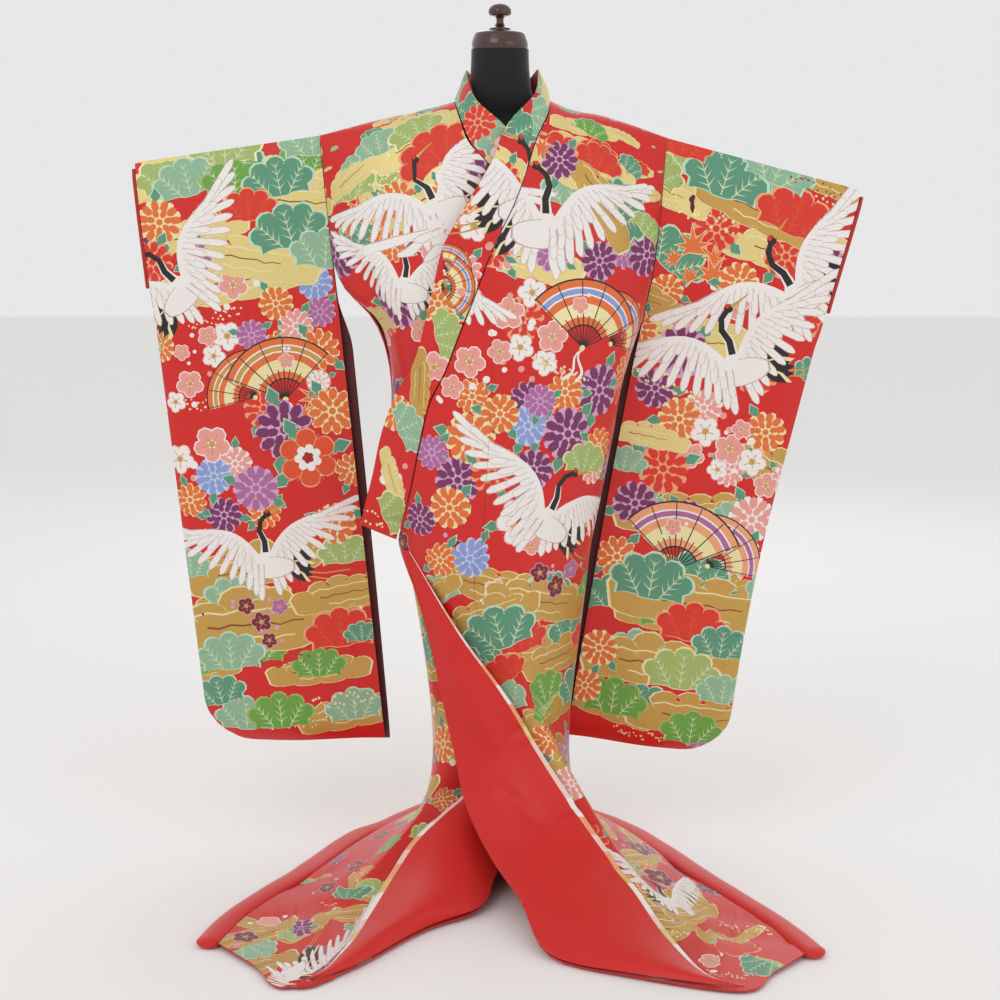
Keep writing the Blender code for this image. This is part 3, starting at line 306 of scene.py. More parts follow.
@lru_cache(maxsize=None)
def table_line(table, column, where):
    """One column of a table, read against its first column."""
    rows = sorted(table)
    return float(smooth_line([row[0] for row in rows], [row[column] for row in rows], where)[0, 0])


@lru_cache(maxsize=None)
def shoulder_height(x):
    return float(smooth_line([row[0] for row in SHOULDER], [row[1] for row in SHOULDER], x)[0, 0])


class Ring:
    """One section of the body. Levels 0 to 1 climb to the chest top, 1 to 2 round the shoulder."""

    def __init__(self, level):
        self.rise = max(0.0, level - 1.0)
        height = WAIST_EDGE + (CHEST_TOP - WAIST_EDGE) * min(level, 1.0)
        sizes = [table_line(RINGS, column, height) for column in range(1, 7)]
        left, right, self.front, self.back, self.power, self.gap = sizes
        climb = math.sin(self.rise * math.pi / 2)
        left += (SHOULDER[0][0] - left) * climb
        right += (SHOULDER[-1][0] - right) * climb
        self.height = height
        self.centre = (left + right) / 2
        self.half = (right - left) / 2
        self.climb = climb
        self.shrink = math.cos(self.rise * math.pi / 2)

    def height_at(self, x):
        return self.height + (shoulder_height(x) - self.height) * self.climb

    def point(self, angle):
        """Angle pi is the wearer's right side, 1.5 pi the front, 2 pi the left side."""
        cosine = math.cos(angle)
        sine = math.sin(angle)
        across = math.copysign(abs(cosine) ** (2 / self.power), cosine)
        deep = abs(sine) ** (2 / self.power)
        x = self.centre + self.half * across
        if sine < 0:
            y = -(self.gap + (self.front - self.gap) * deep) * self.shrink
        else:
            y = (self.gap + (self.back - self.gap) * deep) * self.shrink
        return np.array((x, y, self.height_at(x)))

    def angle(self, x, back=False):
        across = max(-1.0, min(1.0, (x - self.centre) / self.half))
        turn = math.acos(math.copysign(abs(across) ** (self.power / 2), across))
        return turn if back else 2 * math.pi - turn


@lru_cache(maxsize=None)
def ring_at(level):
    return Ring(level)


def level_of(height, x):
    """Level of the front surface at a height, for a place x across."""
    if height <= CHEST_TOP:
        return (height - WAIST_EDGE) / (CHEST_TOP - WAIST_EDGE)
    share = (height - CHEST_TOP) / (shoulder_height(x) - CHEST_TOP)
    return 1.0 + math.asin(min(1.0, share)) * 2 / math.pi


def front_lift(x, top):
    """How far the wrapped fronts stand off the body's section at a place across."""
    share = smooth_step((0.06 - x) / 0.12)
    return WRAP_LIFT * share if top else WRAP_LIFT * (share - 1.0)


def ring_point(level, angle, lift=0.0):
    """Point of the body's section, moved out by lift along the section's own normal."""
    ring = ring_at(level)
    place = ring.point(angle)
    if lift == 0.0:
        return place
    turn = 0.01
    along = ring.point(angle + turn) - ring.point(angle - turn)
    lower = ring_at(max(level - 0.02, 0.0))
    upper = ring_at(min(level + 0.02, 2.0))
    up = upper.point(angle) - lower.point(angle)
    return place + unit(np.cross(along, up)) * lift


def column_of(table, column, heights):
    """Levels and places of one table column, as a curve read by level."""
    return [(level_of(row[heights], row[column]), row[column]) for row in table]


class Half:
    """One half of the robe: its front edge, its seams and its sheet of cloth."""

    def __init__(self, top):
        self.top = top
        self.sign = 1 if top else -1
        self.collar = COLLAR_TOP if top else COLLAR_UNDER
        self.edge = EDGE_TOP if top else EDGE_UNDER
        self.skirt = SKIRT_TOP if top else SKIRT_UNDER
        self.hem = HEM_TOP if top else HEM_UNDER
        self.seam_curve = tuple(sorted(column_of(self.collar, 0, 1)))
        seam = PANEL_SEAM_TOP if top else PANEL_SEAM_UNDER
        self.panel_curve = tuple(sorted((level_of(height, x), x) for height, x in seam))
        self.known = {}
        self.columns = self.make_columns()

    def seam_x(self, level):
        return table_line(self.seam_curve, 1, level)

    def front_angle(self, level):
        return ring_at(level).angle(self.seam_x(level))

    def side_angle(self):
        return 2 * math.pi if self.top else math.pi

    def back_angle(self, level):
        """Centre back, or the neck edge above the nape."""
        x = 0.0
        if level > NAPE_LEVEL:
            share = (2.0 - level) / (2.0 - NAPE_LEVEL)
            x = self.collar[0][0] * math.sqrt(max(0.0, 1.0 - share * share))
        turn = ring_at(level).angle(x, back=True)
        return turn + 2 * math.pi if self.top else turn

    def upper(self, share, level):
        """Sheet above the waist edge: share 0 at the front edge, 1 at the centre back."""
        side = self.side_angle()
        if share <= SIDE_SHARE:
            start = self.front_angle(level)
            angle = start + (side - start) * share / SIDE_SHARE
            return ring_point(level, angle, front_lift(ring_at(level).point(angle)[0], self.top)
                              * min(1.0, 2.2 * (SIDE_SHARE - share) / SIDE_SHARE))
        turn = (share - SIDE_SHARE) / (1.0 - SIDE_SHARE)
        angle = side + (self.back_angle(level) - side) * turn
        return ring_point(level, angle)

    def hem_point(self, share):
        """Hem outline on the floor and its inward direction."""
        points = np.array(self.hem)
        lengths = np.concatenate(([0.0], np.cumsum(np.linalg.norm(np.diff(points, axis=0), axis=1))))
        where = share * lengths[-1]
        place = smooth_line(lengths, points, where)[0]
        ahead = smooth_line(lengths, points, min(where + 0.004, lengths[-1]))[0]
        behind = smooth_line(lengths, points, max(where - 0.004, 0.0))[0]
        along = unit(ahead - behind)
        square = smooth_step((share - 0.90) / 0.09)
        along = unit(along * (1 - square) + np.array((-self.sign, 0.0)) * square)
        inward = np.array((-along[1], along[0])) * self.sign
        return place, inward, along

    def make_columns(self):
        """Six curves down the skirt: knots and points, from just above the waist edge to the hem."""
        columns = []
        for k, share in enumerate(SKIRT_SHARES):
            knots = [-0.16, -0.08, 0.0]
            points = [self.upper(share, -knot) for knot in knots]
            if k < 2:
                for row in self.edge[1:]:
                    fold, free, _ = self.turn_frame(row[0])
                    seat = (fold, free)[k] - self.turn_normal(row[0]) * (FOLD_DROP, FREE_DROP)[k]
                    seat[2] = max(seat[2], FLOOR_CLOTH)
                    knots.append(row[0])
                    points.append(seat)
                if k == 0:
                    knots.append((knots[-1] + 1.0) / 2)
                    points.append((points[-1] + self.hem_seat(share)) / 2)
                else:
                    del knots[-1], points[-1]
            else:
                start = 1 + 3 * (k - 2)
                for row in self.skirt:
                    knots.append(row[0])
                    points.append(np.array(row[start:start + 3]))
            knots.append(1.0)
            points.append(self.hem_seat(share))
            columns.append((knots, points))
        return columns

    def hem_seat(self, share):
        """Edge of the brocade behind the padded hem."""
        place, inward, along = self.hem_point(share)
        place = place + inward * HEM_ROLL_WIDTH
        if share < 0.06:
            place = place + along * HEM_ROLL_WIDTH * 0.25 * (1 - share / 0.06)
        return np.array((place[0], place[1], HEM_SEAT_HEIGHT))

    def turn_frame(self, share):
        knots = [row[0] for row in self.edge]
        places = [row[1:] for row in self.edge]
        lines = smooth_line(knots, places, (share - 0.01, share + 0.01))
        middle = smooth_line(knots, places, share)[0]
        along = unit((lines[1][:3] + lines[1][3:]) - (lines[0][:3] + lines[0][3:]))
        return middle[:3], middle[3:], along

    def turn_normal(self, share):
        """Outward direction of the turned-back edge, towards the viewer and up."""
        fold, free, along = self.turn_frame(share)
        normal = unit(np.cross(along, free - fold))
        return normal * (1 if normal[2] - normal[1] > 0 else -1)

    def turn_point(self, share, across, lift):
        """Turned-back layer: across 0 on the fold, 1 on the free edge."""
        fold, free, _ = self.turn_frame(share)
        bulge = TURN_BULGE * np.linalg.norm(free - fold) * math.sin(math.pi * across)
        return fold + (free - fold) * across + self.turn_normal(share) * (lift + bulge)

    def across(self, down):
        """The six control points at one place down the skirt, worked out once."""
        if down not in self.known:
            self.known[down] = [smooth_line(knots, points, down)[0] for knots, points in self.columns]
        return self.known[down]

    def lower(self, share, down):
        """Sheet below the waist edge: down 0 at the waist edge, 1 at the hem."""
        place = smooth_line(SKIRT_SHARES, self.across(down), share)[0]
        if down < WAIST_BLEND:
            waist = self.upper(share, 0.0) - smooth_line(SKIRT_SHARES, self.across(0.0), share)[0]
            place = place + waist * (1 - smooth_step(down / WAIST_BLEND))
        if down > 1 - HEM_BLEND:
            hem = self.hem_seat(share) - smooth_line(SKIRT_SHARES, self.across(1.0), share)[0]
            place = place + hem * smooth_step((down - 1 + HEM_BLEND) / HEM_BLEND)
        return place

    def sheet(self, share, place):
        """Place 0 to 2 is the body's level; below zero it runs down to -1 at the hem."""
        if place >= 0:
            return self.upper(share, place)
        return self.lower(share, -place)

    def panel_share(self, place):
        """Share of the seam between the overlap panel and the front panel."""
        if place >= 0:
            angle = ring_at(place).angle(table_line(self.panel_curve, 1, place))
            start = self.front_angle(place)
            share = SIDE_SHARE * (angle - start) / (self.side_angle() - start)
            taper = smooth_step((PANEL_TIP_LEVEL - place) / PANEL_TIP_REACH)
            return PANEL_TIP_SHARE + (share - PANEL_TIP_SHARE) * taper
        waist = self.panel_share(0.0)
        return float(smooth_line(PANEL_SEAM_PLACES, (*PANEL_SEAM_SHARES, waist), place)[0, 0])


def spread(start, end, count):
    return [start + (end - start) * i / (count - 1) for i in range(count)]


def collar_rows(half):
    """Pairs of seam and free edge points, from the centre back round the neck to the lower end."""
    shoulder = half.collar[0]
    rows = []
    for turn in spread(0.0, NECK_TURN, NECK_ROWS):
        angle = math.pi / 2 * (1 - turn)
        level = NAPE_LEVEL + (2.0 - NAPE_LEVEL) * (1 - math.sin(angle))
        x = shoulder[0] * math.cos(angle)
        seam = ring_at(level).point(ring_at(level).angle(x, back=True))
        rise = COLLAR_RISE - COLLAR_RISE_LOSS * turn
        free_y = seam[1] * COLLAR_LEAN_BACK + 0.004 * (1 - turn)
        free = np.array((x * COLLAR_LEAN_ACROSS, free_y, seam[2] + rise))
        rows.append((seam, free))
    for seam_x, seam_z, free_x, free_z, lift in half.collar:
        seam = half.upper(0.0, min(level_of(seam_z, seam_x), 1.985))
        rows.append((seam, front_place(half, free_x, free_z, lift)))
    return rows


def front_place(half, x, z, lift):
    """Point off the front surface. Past the side it stays level with the last of the front."""
    level = max(min(level_of(z, x), 1.97), 0.0)
    ring = ring_at(level)
    limit = 0.90 * ring.half
    inside = max(ring.centre - limit, min(ring.centre + limit, x))
    place = ring_point(level, ring.angle(inside), front_lift(inside, half.top) + lift)
    return np.array((place[0] + x - inside, place[1], z))


def sleeve_width(table, share):
    row = smooth_line([r[0] for r in table], [r[1:] for r in table], share)[0]
    return math.hypot(row[2] - row[0], row[3] - row[1])


class Sleeve:
    """Flat sleeve bag: x runs from the inner edge out, v down from the shoulder fold."""

    def __init__(self, table, sign):
        self.table = table
        self.sign = sign
        self.length = math.hypot(table[-1][1] - table[0][1], table[-1][2] - table[0][2])
        self.width = sleeve_width(table, 0.5)
        self.set_back = SLEEVE_SET_BACK[sign]

    def seam_half(self, v):
        """Half the gap between the two skins where they are sewn, wider at the curved bottom."""
        return SLEEVE_SEAM_HALF * (1 + 2 * smooth_step((v - 0.9 * self.length) / (0.1 * self.length)))

    def depth(self, x, v):
        edge = min(self.width - x, self.length - v)
        if x > self.width - SLEEVE_CORNER and v > self.length - SLEEVE_CORNER:
            from_centre = math.hypot(x - self.width + SLEEVE_CORNER, v - self.length + SLEEVE_CORNER)
            edge = SLEEVE_CORNER - from_centre
        side_open = 1.0 - smooth_step((v - MOUTH_LENGTH) / 0.07)
        edge = min(max(edge, 0.0) + side_open * SLEEVE_EDGE_REACH, self.length - v)
        round_edge = math.sqrt(max(0.0, 1 - (1 - min(1.0, edge / SLEEVE_EDGE_REACH)) ** 2))
        fold = math.sqrt(max(0.0, 1 - (1 - min(1.0, v / SLEEVE_FOLD_REACH)) ** 2))
        inner = smooth_step(x / 0.10)
        full = SLEEVE_SEAM_DEPTH + (SLEEVE_DEPTH - SLEEVE_SEAM_DEPTH) * inner
        return full * round_edge * fold

    def middle(self, x, v):
        """Middle plane with its soft hanging waves."""
        share = min(1.0, max(0.0, v / self.length))
        row = smooth_line([r[0] for r in self.table], [r[1:] for r in self.table], share)[0]
        part = x / self.width
        back = self.set_back * smooth_step((v - ARMHOLE_LENGTH) / 0.12) * (1 - part)
        wave = 0.006 * share * math.sin(2.6 * math.pi * part + 0.7) + back
        return np.array((row[0] + (row[2] - row[0]) * part, wave, row[1] + (row[3] - row[1]) * part))

    def point(self, x, v, face):
        """Face -1 is the front skin and +1 the back skin."""
        shift = 0.0
        if face > 0:
            below_armhole = smooth_step((v - ARMHOLE_LENGTH - 0.06) / 0.10)
            shift = -FURI_SHIFT * below_armhole * (1 - smooth_step(x / 0.12))
            shift *= 1 - 0.5 * (v / self.length) ** 2
        place = self.middle(x + shift, v)
        place[1] += face * max(self.depth(x, v) / 2, self.seam_half(v))
        return place


# Charts: mesh pitch of the outer and inner skins, step that slopes are read over and margin kept
# from the edge for them, and how a motif walks out: steps, least slope area and greatest stretch
GRID_PITCH = 0.015
INNER_PITCH = 0.020
SLOPE_STEP = 0.002
EDGE_MARGIN = 0.004
WALK_STEPS = 3
LEAST_SPAN = 0.25
MOST_STRETCH = 1.6
FARTHEST_FIND = 0.25
# Narrower shapes than this hide nothing worth looking for
COVERING_WIDTH = 0.012


def cubic_weights(t):
    """Catmull-Rom weights of four neighbours at a place between the middle two."""
    return np.stack((-0.5 * t + t ** 2 - 0.5 * t ** 3, 1 - 2.5 * t ** 2 + 1.5 * t ** 3,
                     0.5 * t + 2 * t ** 2 - 1.5 * t ** 3, -0.5 * t ** 2 + 0.5 * t ** 3), axis=1)


class Chart:
    """A panel's outer surface as a grid of points, read smoothly at places across and down."""

    def __init__(self, points, facing):
        points = np.array(points)
        self.count = np.array((points.shape[1], points.shape[0]))
        across = np.linalg.norm(np.diff(points, axis=1), axis=2).sum(axis=1).mean()
        down = np.linalg.norm(np.diff(points, axis=0), axis=2).sum(axis=0).mean()
        self.size = np.array((across, down))
        self.step = self.size / (self.count - 1)
        self.facing = np.array(facing)
        self.set_points(points)
        middle = self.size * (0.5, 0.15)
        side_on, drop = self.slopes(middle[None])
        self.sign = 1.0 if np.cross(side_on[0], drop[0]) @ self.facing > 0 else -1.0

    def set_points(self, points):
        self.points = points
        padded = np.pad(points, ((1, 1), (1, 1), (0, 0)), mode="edge")
        padded[0] = 2 * padded[1] - padded[2]
        padded[-1] = 2 * padded[-2] - padded[-3]
        padded[:, 0] = 2 * padded[:, 1] - padded[:, 2]
        padded[:, -1] = 2 * padded[:, -2] - padded[:, -3]
        self.padded = padded

    def at(self, places):
        where = np.clip(np.asarray(places, float) / self.step, 0, self.count - 1 - 1e-9)
        cell = np.minimum(where.astype(int), self.count - 2)
        part = where - cell
        across = cubic_weights(part[:, 0])
        down = cubic_weights(part[:, 1])
        total = np.zeros((len(where), 3))
        for i in range(4):
            for j in range(4):
                total += (across[:, i] * down[:, j])[:, None] * self.padded[cell[:, 1] + j, cell[:, 0] + i]
        return total

    def slopes(self, places):
        places = np.asarray(places, float)
        steps = []
        for axis in (0, 1):
            move = np.zeros(2)
            move[axis] = SLOPE_STEP
            high = np.minimum(places + move, self.size)
            low = np.maximum(places - move, 0)
            length = np.maximum((high - low)[:, axis], 1e-6)
            steps.append((self.at(high) - self.at(low)) / length[:, None])
        return steps

    def normals(self, places):
        side_on, drop = self.slopes(places)
        normals = np.cross(side_on, drop) * self.sign
        return normals / np.maximum(np.linalg.norm(normals, axis=1), 1e-12)[:, None]

    def find(self, target, axes):
        """Chart place of the surface point nearest to a target seen along the third axis."""
        gap = self.points[:, :, axes] - np.array(target)
        row, column = np.unravel_index(np.argmin((gap ** 2).sum(axis=2)), gap.shape[:2])
        place = np.array((column, row)) * self.step
        side_on, drop = self.slopes(np.clip(place, EDGE_MARGIN, self.size - EDGE_MARGIN)[None])
        slope = np.stack((side_on[0][axes], drop[0][axes]), axis=1)
        move = np.linalg.lstsq(slope, np.array(target) - self.at(place[None])[0][axes],
                               rcond=0.2)[0]
        length = np.linalg.norm(move)
        return place + move * min(1.0, FARTHEST_FIND / max(length, 1e-9))

    def lay(self, points, centre, turn, mirror):
        """Places of a motif's points, in metres on the cloth, walked out from its centre in short steps."""
        side_on, drop = self.slopes(np.clip(centre, EDGE_MARGIN, self.size - EDGE_MARGIN)[None])
        up = -unit(drop[0])
        right = np.cross(up, unit(np.cross(side_on[0], drop[0])) * self.sign)
        angle = math.radians(turn)
        x = points[:, 0] * mirror
        y = points[:, 1]
        step = (np.outer(x * math.cos(angle) - y * math.sin(angle), right)
                + np.outer(x * math.sin(angle) + y * math.cos(angle), up)) / WALK_STEPS
        places = np.repeat(np.asarray(centre)[None], len(points), axis=0)
        for _ in range(WALK_STEPS):
            side_on, drop = self.slopes(np.clip(places, EDGE_MARGIN, self.size - EDGE_MARGIN))
            aa = (side_on * side_on).sum(axis=1)
            ab = (side_on * drop).sum(axis=1)
            bb = (drop * drop).sum(axis=1)
            a = (side_on * step).sum(axis=1)
            b = (drop * step).sum(axis=1)
            span = np.maximum(aa * bb - ab * ab, LEAST_SPAN)
            places = places + np.stack((bb * a - ab * b, aa * b - ab * a), axis=1) / span[:, None]
        away = places - centre
        lengths = np.maximum(np.linalg.norm(away, axis=1), 1e-9)
        reach = MOST_STRETCH * np.linalg.norm(points, axis=1) / lengths
        return centre + away * np.minimum(reach, 1.0)[:, None]

    def refined(self, rows, columns):
        """The same surface with more rows and columns of points."""
        places = even_places(self.size, rows, columns)
        finer = Chart(self.at(places).reshape(rows, columns, 3), self.facing)
        finer.sign = self.sign
        return finer


def turned_left(points):
    """The same outline, run anticlockwise."""
    x, y = points[:, 0], points[:, 1]
    area = (x * np.roll(y, -1) - np.roll(x, -1) * y).sum()
    return points if area > 0 else points[::-1]


def even_places(size, rows, columns):
    """Places of an even grid over a chart, row by row."""
    a, b = np.meshgrid(np.linspace(0, size[0], columns), np.linspace(0, size[1], rows))
    return np.stack((a.ravel(), b.ravel()), axis=1)


def border_loop(triangles):
    """Corners of the open edge of a set of triangles, in order."""
    after = {}
    for a, b, c in triangles:
        for start, end in ((a, b), (b, c), (c, a)):
            after[(start, end)] = True
    onward = {start: end for start, end in after if (end, start) not in after}
    first = next(iter(onward))
    loop = [first]
    while onward[loop[-1]] != first and len(loop) <= len(onward):
        loop.append(onward[loop[-1]])
    return loop


def inside(points, ring):
    """Whether each point lies in a closed ring."""
    x, y = points[:, 0][:, None], points[:, 1][:, None]
    x0, y0 = ring[:, 0], ring[:, 1]
    x1, y1 = np.roll(x0, -1), np.roll(y0, -1)
    over = (y0 > y) != (y1 > y)
    rise = np.where(y1 == y0, 1e-12, y1 - y0)
    return ((over & (x < x0 + (y - y0) * (x1 - x0) / rise)).sum(axis=1) % 2).astype(bool)


def distance_to(points, ring):
    """Distance of each point from a closed ring."""
    along = np.roll(ring, -1, axis=0) - ring
    nearest = np.full(len(points), np.inf)
    for start, step in zip(ring, along):
        share = np.clip(((points - start) @ step) / max(step @ step, 1e-12), 0, 1)
        nearest = np.minimum(nearest, np.linalg.norm(points - start - share[:, None] * step, axis=1))
    return nearest


def showing(motifs):
    """The shapes that no later shape covers whole, so that no hidden edge is cut."""
    lows = np.array([shape.min(axis=0) for shape, tone in motifs])
    highs = np.array([shape.max(axis=0) for shape, tone in motifs])
    broad = (highs - lows).min(axis=1) > COVERING_WIDTH
    kept = []
    for i, (shape, tone) in enumerate(motifs):
        later = slice(i + 1, None)
        boxed = (lows[later] <= lows[i]).all(axis=1) & (highs[later] >= highs[i]).all(axis=1)
        over = np.nonzero(broad[later] & boxed)[0]
        if not any(inside(shape, motifs[i + 1 + j][0]).all() for j in over):
            kept.append((shape, tone))
    return kept


def cut_chart(outline, shapes, pitch, size):
    """Triangles of an outline, cut along every shape. The last shape over a triangle owns it."""
    columns, rows = (max(2, int(round(length / pitch)) + 1) for length in size)
    grid = even_places(size, rows, columns)
    ring = np.asarray(outline)
    grid = grid[inside(grid, ring)]
    corners = [tuple(point) for point in grid[distance_to(grid, ring) > 0.3 * pitch]]
    rings = []
    for shape in (outline, *shapes):
        ring = turned_left(np.asarray(shape))
        start = len(corners)
        corners.extend(map(tuple, ring))
        rings.append(list(range(start, start + len(ring))))
    points = [Vector(corner) for corner in corners]
    flat, _, triangles, _, _, owners = delaunay_2d_cdt(points, [], rings, 0, 1e-6, True)
    places = [tuple(corner) for corner in flat]
    boxes = [(*np.min(shape, axis=0), *np.max(shape, axis=0)) for shape in (outline, *shapes)]
    kept = []
    for triangle, covers in zip(triangles, owners):
        if 0 not in covers:
            continue
        x, y = (sum(places[k][axis] for k in triangle) / 3 for axis in (0, 1))
        for owner in sorted(covers, reverse=True):
            low_x, low_y, high_x, high_y = boxes[owner]
            if owner == 0 or (low_x <= x <= high_x and low_y <= y <= high_y):
                break
        kept.append((tuple(triangle), owner))
    return np.array(places), [k[0] for k in kept], [k[1] for k in kept]


def linear(hex_colour):
    """Linear red, green and blue of an sRGB hex colour."""
    values = [int(hex_colour[i:i + 2], 16) / 255 for i in (0, 2, 4)]
    return tuple(v / 12.92 if v <= 0.04045 else ((v + 0.055) / 1.055) ** 2.4 for v in values)


def placed(name, data):
    """A new object in the scene."""
    piece = bpy.data.objects.new(name, data)
    bpy.context.scene.collection.objects.link(piece)
    return piece


def add_sheet(name, chart, outline, motifs, wall, ground, back_tone, pitch=GRID_PITCH):
    """One panel: the woven outer skin, a plain inner skin one wall behind it, and the edge between."""
    motifs = showing(motifs) if motifs else []
    places, triangles, owners = cut_chart(outline, [shape for shape, tone in motifs], pitch, chart.size)
    tones = [ground] + [tone for shape, tone in motifs]
    outer = chart.at(places)
    loop = border_loop(triangles)
    inner_places, inner_triangles, _ = cut_chart(places[loop], [], INNER_PITCH, chart.size)
    inner = chart.at(inner_places) - chart.normals(inner_places) * wall
    used = sorted({k for t in triangles for k in t})
    spot = {k: i for i, k in enumerate(used)}
    inner_used = sorted({k for t in inner_triangles for k in t})
    shift = len(used)
    inner_spot = {k: i + shift for i, k in enumerate(inner_used)}
    corners = np.concatenate((outer[used], inner[inner_used]))
    cloth_places = np.concatenate((places[used], inner_places[inner_used]))
    faces = []
    threads = []
    for corner, owner in zip(triangles, owners):
        order = corner if chart.sign > 0 else corner[::-1]
        faces.append([spot[k] for k in order])
        threads.append(tones[owner])
    for corner in inner_triangles:
        order = corner[::-1] if chart.sign > 0 else corner
        faces.append([inner_spot[k] for k in order])
        threads.append(back_tone)
    border = np.array(border_loop(inner_triangles))
    gaps = [((inner_places[border] - places[k]) ** 2).sum(axis=1) for k in loop]
    rim = [inner_spot[border[np.argmin(gap)]] for gap in gaps]
    for i, k in enumerate(loop):
        j = (i + 1) % len(loop)
        if rim[i] == rim[j]:
            continue
        quad = [spot[k], rim[i], rim[j], spot[loop[j]]]
        faces.append(quad if chart.sign > 0 else quad[::-1])
        threads.append(back_tone)
    mesh = bpy.data.meshes.new(name)
    mesh.from_pydata([tuple(c) for c in corners], [], faces)
    paint(mesh, threads, cloth_places)
    mesh.shade_smooth()
    mesh.set_sharp_from_angle(angle=math.radians(55))
    piece = placed(name, mesh)
    return piece


def paint(mesh, threads, places):
    """Thread colour of each face, its material by how the thread is made, and places as a UV map."""
    kinds = ["satin", "float", "gold", "lining"]
    for kind in kinds:
        mesh.materials.append(material_of(kind))
    colours = {tone: (*linear(TONES[tone][0]), 1.0) for tone in set(threads)}
    slots = np.array([kinds.index(TONES[tone][1]) for tone in threads], dtype=np.int32)
    mesh.polygons.foreach_set("material_index", slots)
    sizes = np.zeros(len(mesh.polygons), dtype=np.int32)
    mesh.polygons.foreach_get("loop_total", sizes)
    per_face = np.array([colours[tone] for tone in threads], dtype=np.float32)
    thread = mesh.color_attributes.new("thread", "FLOAT_COLOR", "CORNER")
    thread.data.foreach_set("color", np.repeat(per_face, sizes, axis=0).ravel())
    corner_of = np.zeros(len(mesh.loops), dtype=np.int32)
    mesh.loops.foreach_get("vertex_index", corner_of)
    layer = mesh.uv_layers.new(name="cloth")
    layer.data.foreach_set("uv", np.asarray(places, dtype=np.float32)[corner_of].ravel())


# Thread colours: sRGB hex and how the thread is woven

TONES = {
    "red": ("D5160B", "satin"), "deep_red": ("A81410", "float"), "wine": ("7E1626", "float"),
    "scarlet": ("E2301A", "float"), "flame": ("E5501F", "float"), "orange": ("EC7331", "float"),
    "apricot": ("F4A878", "float"), "light": ("EBD68A", "gold"), "deep": ("CFA350", "gold"),
    "gold_line": ("F6E7AE", "gold"), "brown": ("8B4A1D", "float"), "rust": ("A4431C", "float"),
    "leaf": ("A9BE6C", "float"), "sage": ("93BC9A", "float"), "teal": ("5B9A7B", "float"),
    "bright": ("6CA83F", "float"), "rim_green": ("D3E4B4", "float"),
    "mint": ("C4E3C6", "float"), "purple": ("7A2960", "float"), "mauve": ("B36AA2", "float"),
    "lilac": ("D9A8CB", "float"), "blue": ("8FA2DA", "float"), "pale_blue": ("C9D3F2", "float"),
    "pink": ("F2A296", "float"), "blush": ("F9D3C9", "float"), "white": ("F8F3EE", "float"),
    "feather": ("CFAEAA", "float"), "black": ("17110F", "float"),
    # The lining red darkened as painted shade, for the insides of the sleeves where shade falls
    "lining": ("D3130A", "lining"), "piping": ("B3130C", "lining"), "dark_lining": ("5A0708", "lining"),
}


# Motifs, drawn round their own middle with a width of 1

def arc(radius_x, radius_y, start, end, count, x=0.0, y=0.0):
    angles = np.radians(np.linspace(start, end, count))
    return np.stack((x + radius_x * np.cos(angles), y + radius_y * np.sin(angles)), axis=1)


def disc(radius, sides, x=0.0, y=0.0):
    return arc(radius, radius, 0, 360 * (1 - 1 / sides), sides, x, y)


def ribbon(line, width, end_width=None):
    """Strip along a line, as wide as given at its start and at its end."""
    line = np.asarray(line, float)
    ahead = np.gradient(line, axis=0)
    side_on = np.stack((-ahead[:, 1], ahead[:, 0]), axis=1)
    side_on /= np.maximum(np.linalg.norm(side_on, axis=1), 1e-9)[:, None]
    widths = np.linspace(width, width if end_width is None else end_width, len(line))[:, None] / 2
    return np.concatenate((line + side_on * widths, (line - side_on * widths)[::-1]))


def moved(shape, x=0.0, y=0.0, turn=0.0, size=1.0):
    angle = math.radians(turn)
    c, s = math.cos(angle), math.sin(angle)
    shape = np.asarray(shape) * size
    return shape @ np.array(((c, s), (-s, c))) + (x, y)


def lobed(radius, lobes, depth, steps=4, phase=0.0):
    """Flower outline with round lobes."""
    turns = np.arange(lobes * steps) / (lobes * steps)
    reach = radius * (1 - depth * (1 - np.abs(np.sin(math.pi * (turns * lobes + phase)))) ** 1.5)
    angles = 2 * math.pi * turns
    return np.stack((reach * np.cos(angles), reach * np.sin(angles)), axis=1)


def pine(tone, chance):
    """Pine bough: a fan of needles under a lobed top."""
    body, rim, needle = {
        "leaf": ("leaf", "gold_line", "rim_green"), "sage": ("sage", "mint", "rim_green"),
        "teal": ("teal", "mint", "rim_green"), "bright": ("bright", "leaf", "rim_green"),
        "flame": ("scarlet", "apricot", "flame"),
    }[tone]
    top = []
    lobes = 5
    for k in range(lobes):
        angle = math.radians(180 - 180 * (k + 0.5) / lobes)
        top.append(arc(0.135, 0.12, math.degrees(angle) + 95, math.degrees(angle) - 95, 6,
                       0.385 * math.cos(angle), 0.05 + 0.30 * math.sin(angle)))
    outline = np.concatenate(top + [arc(0.17, 0.05, 20, 160, 4, x, -0.10) for x in (0.24, -0.24)])
    parts = [(outline, rim), (moved(outline, 0, 0.006, 0, 0.93), body)]
    for x, lean, reach in ((0.0, 0, 0.40), (-0.17, 34, 0.36), (0.17, -34, 0.36)):
        stem = moved([(0, 0), (0, reach / 2), (0, reach)], x * 0.7, -0.05, lean)
        parts.append((ribbon(stem, 0.014, 0.006), needle))
        for k in range(4):
            share = 0.18 + 0.70 * k / 3
            for side in (-1, 1):
                y = reach * share
                stroke = [(0, y - 0.010), (side * 0.100 * (1.1 - 0.5 * share), y + 0.080), (0, y + 0.012)]
                parts.append((moved(stroke, x * 0.7, -0.05, lean), needle))
    return parts


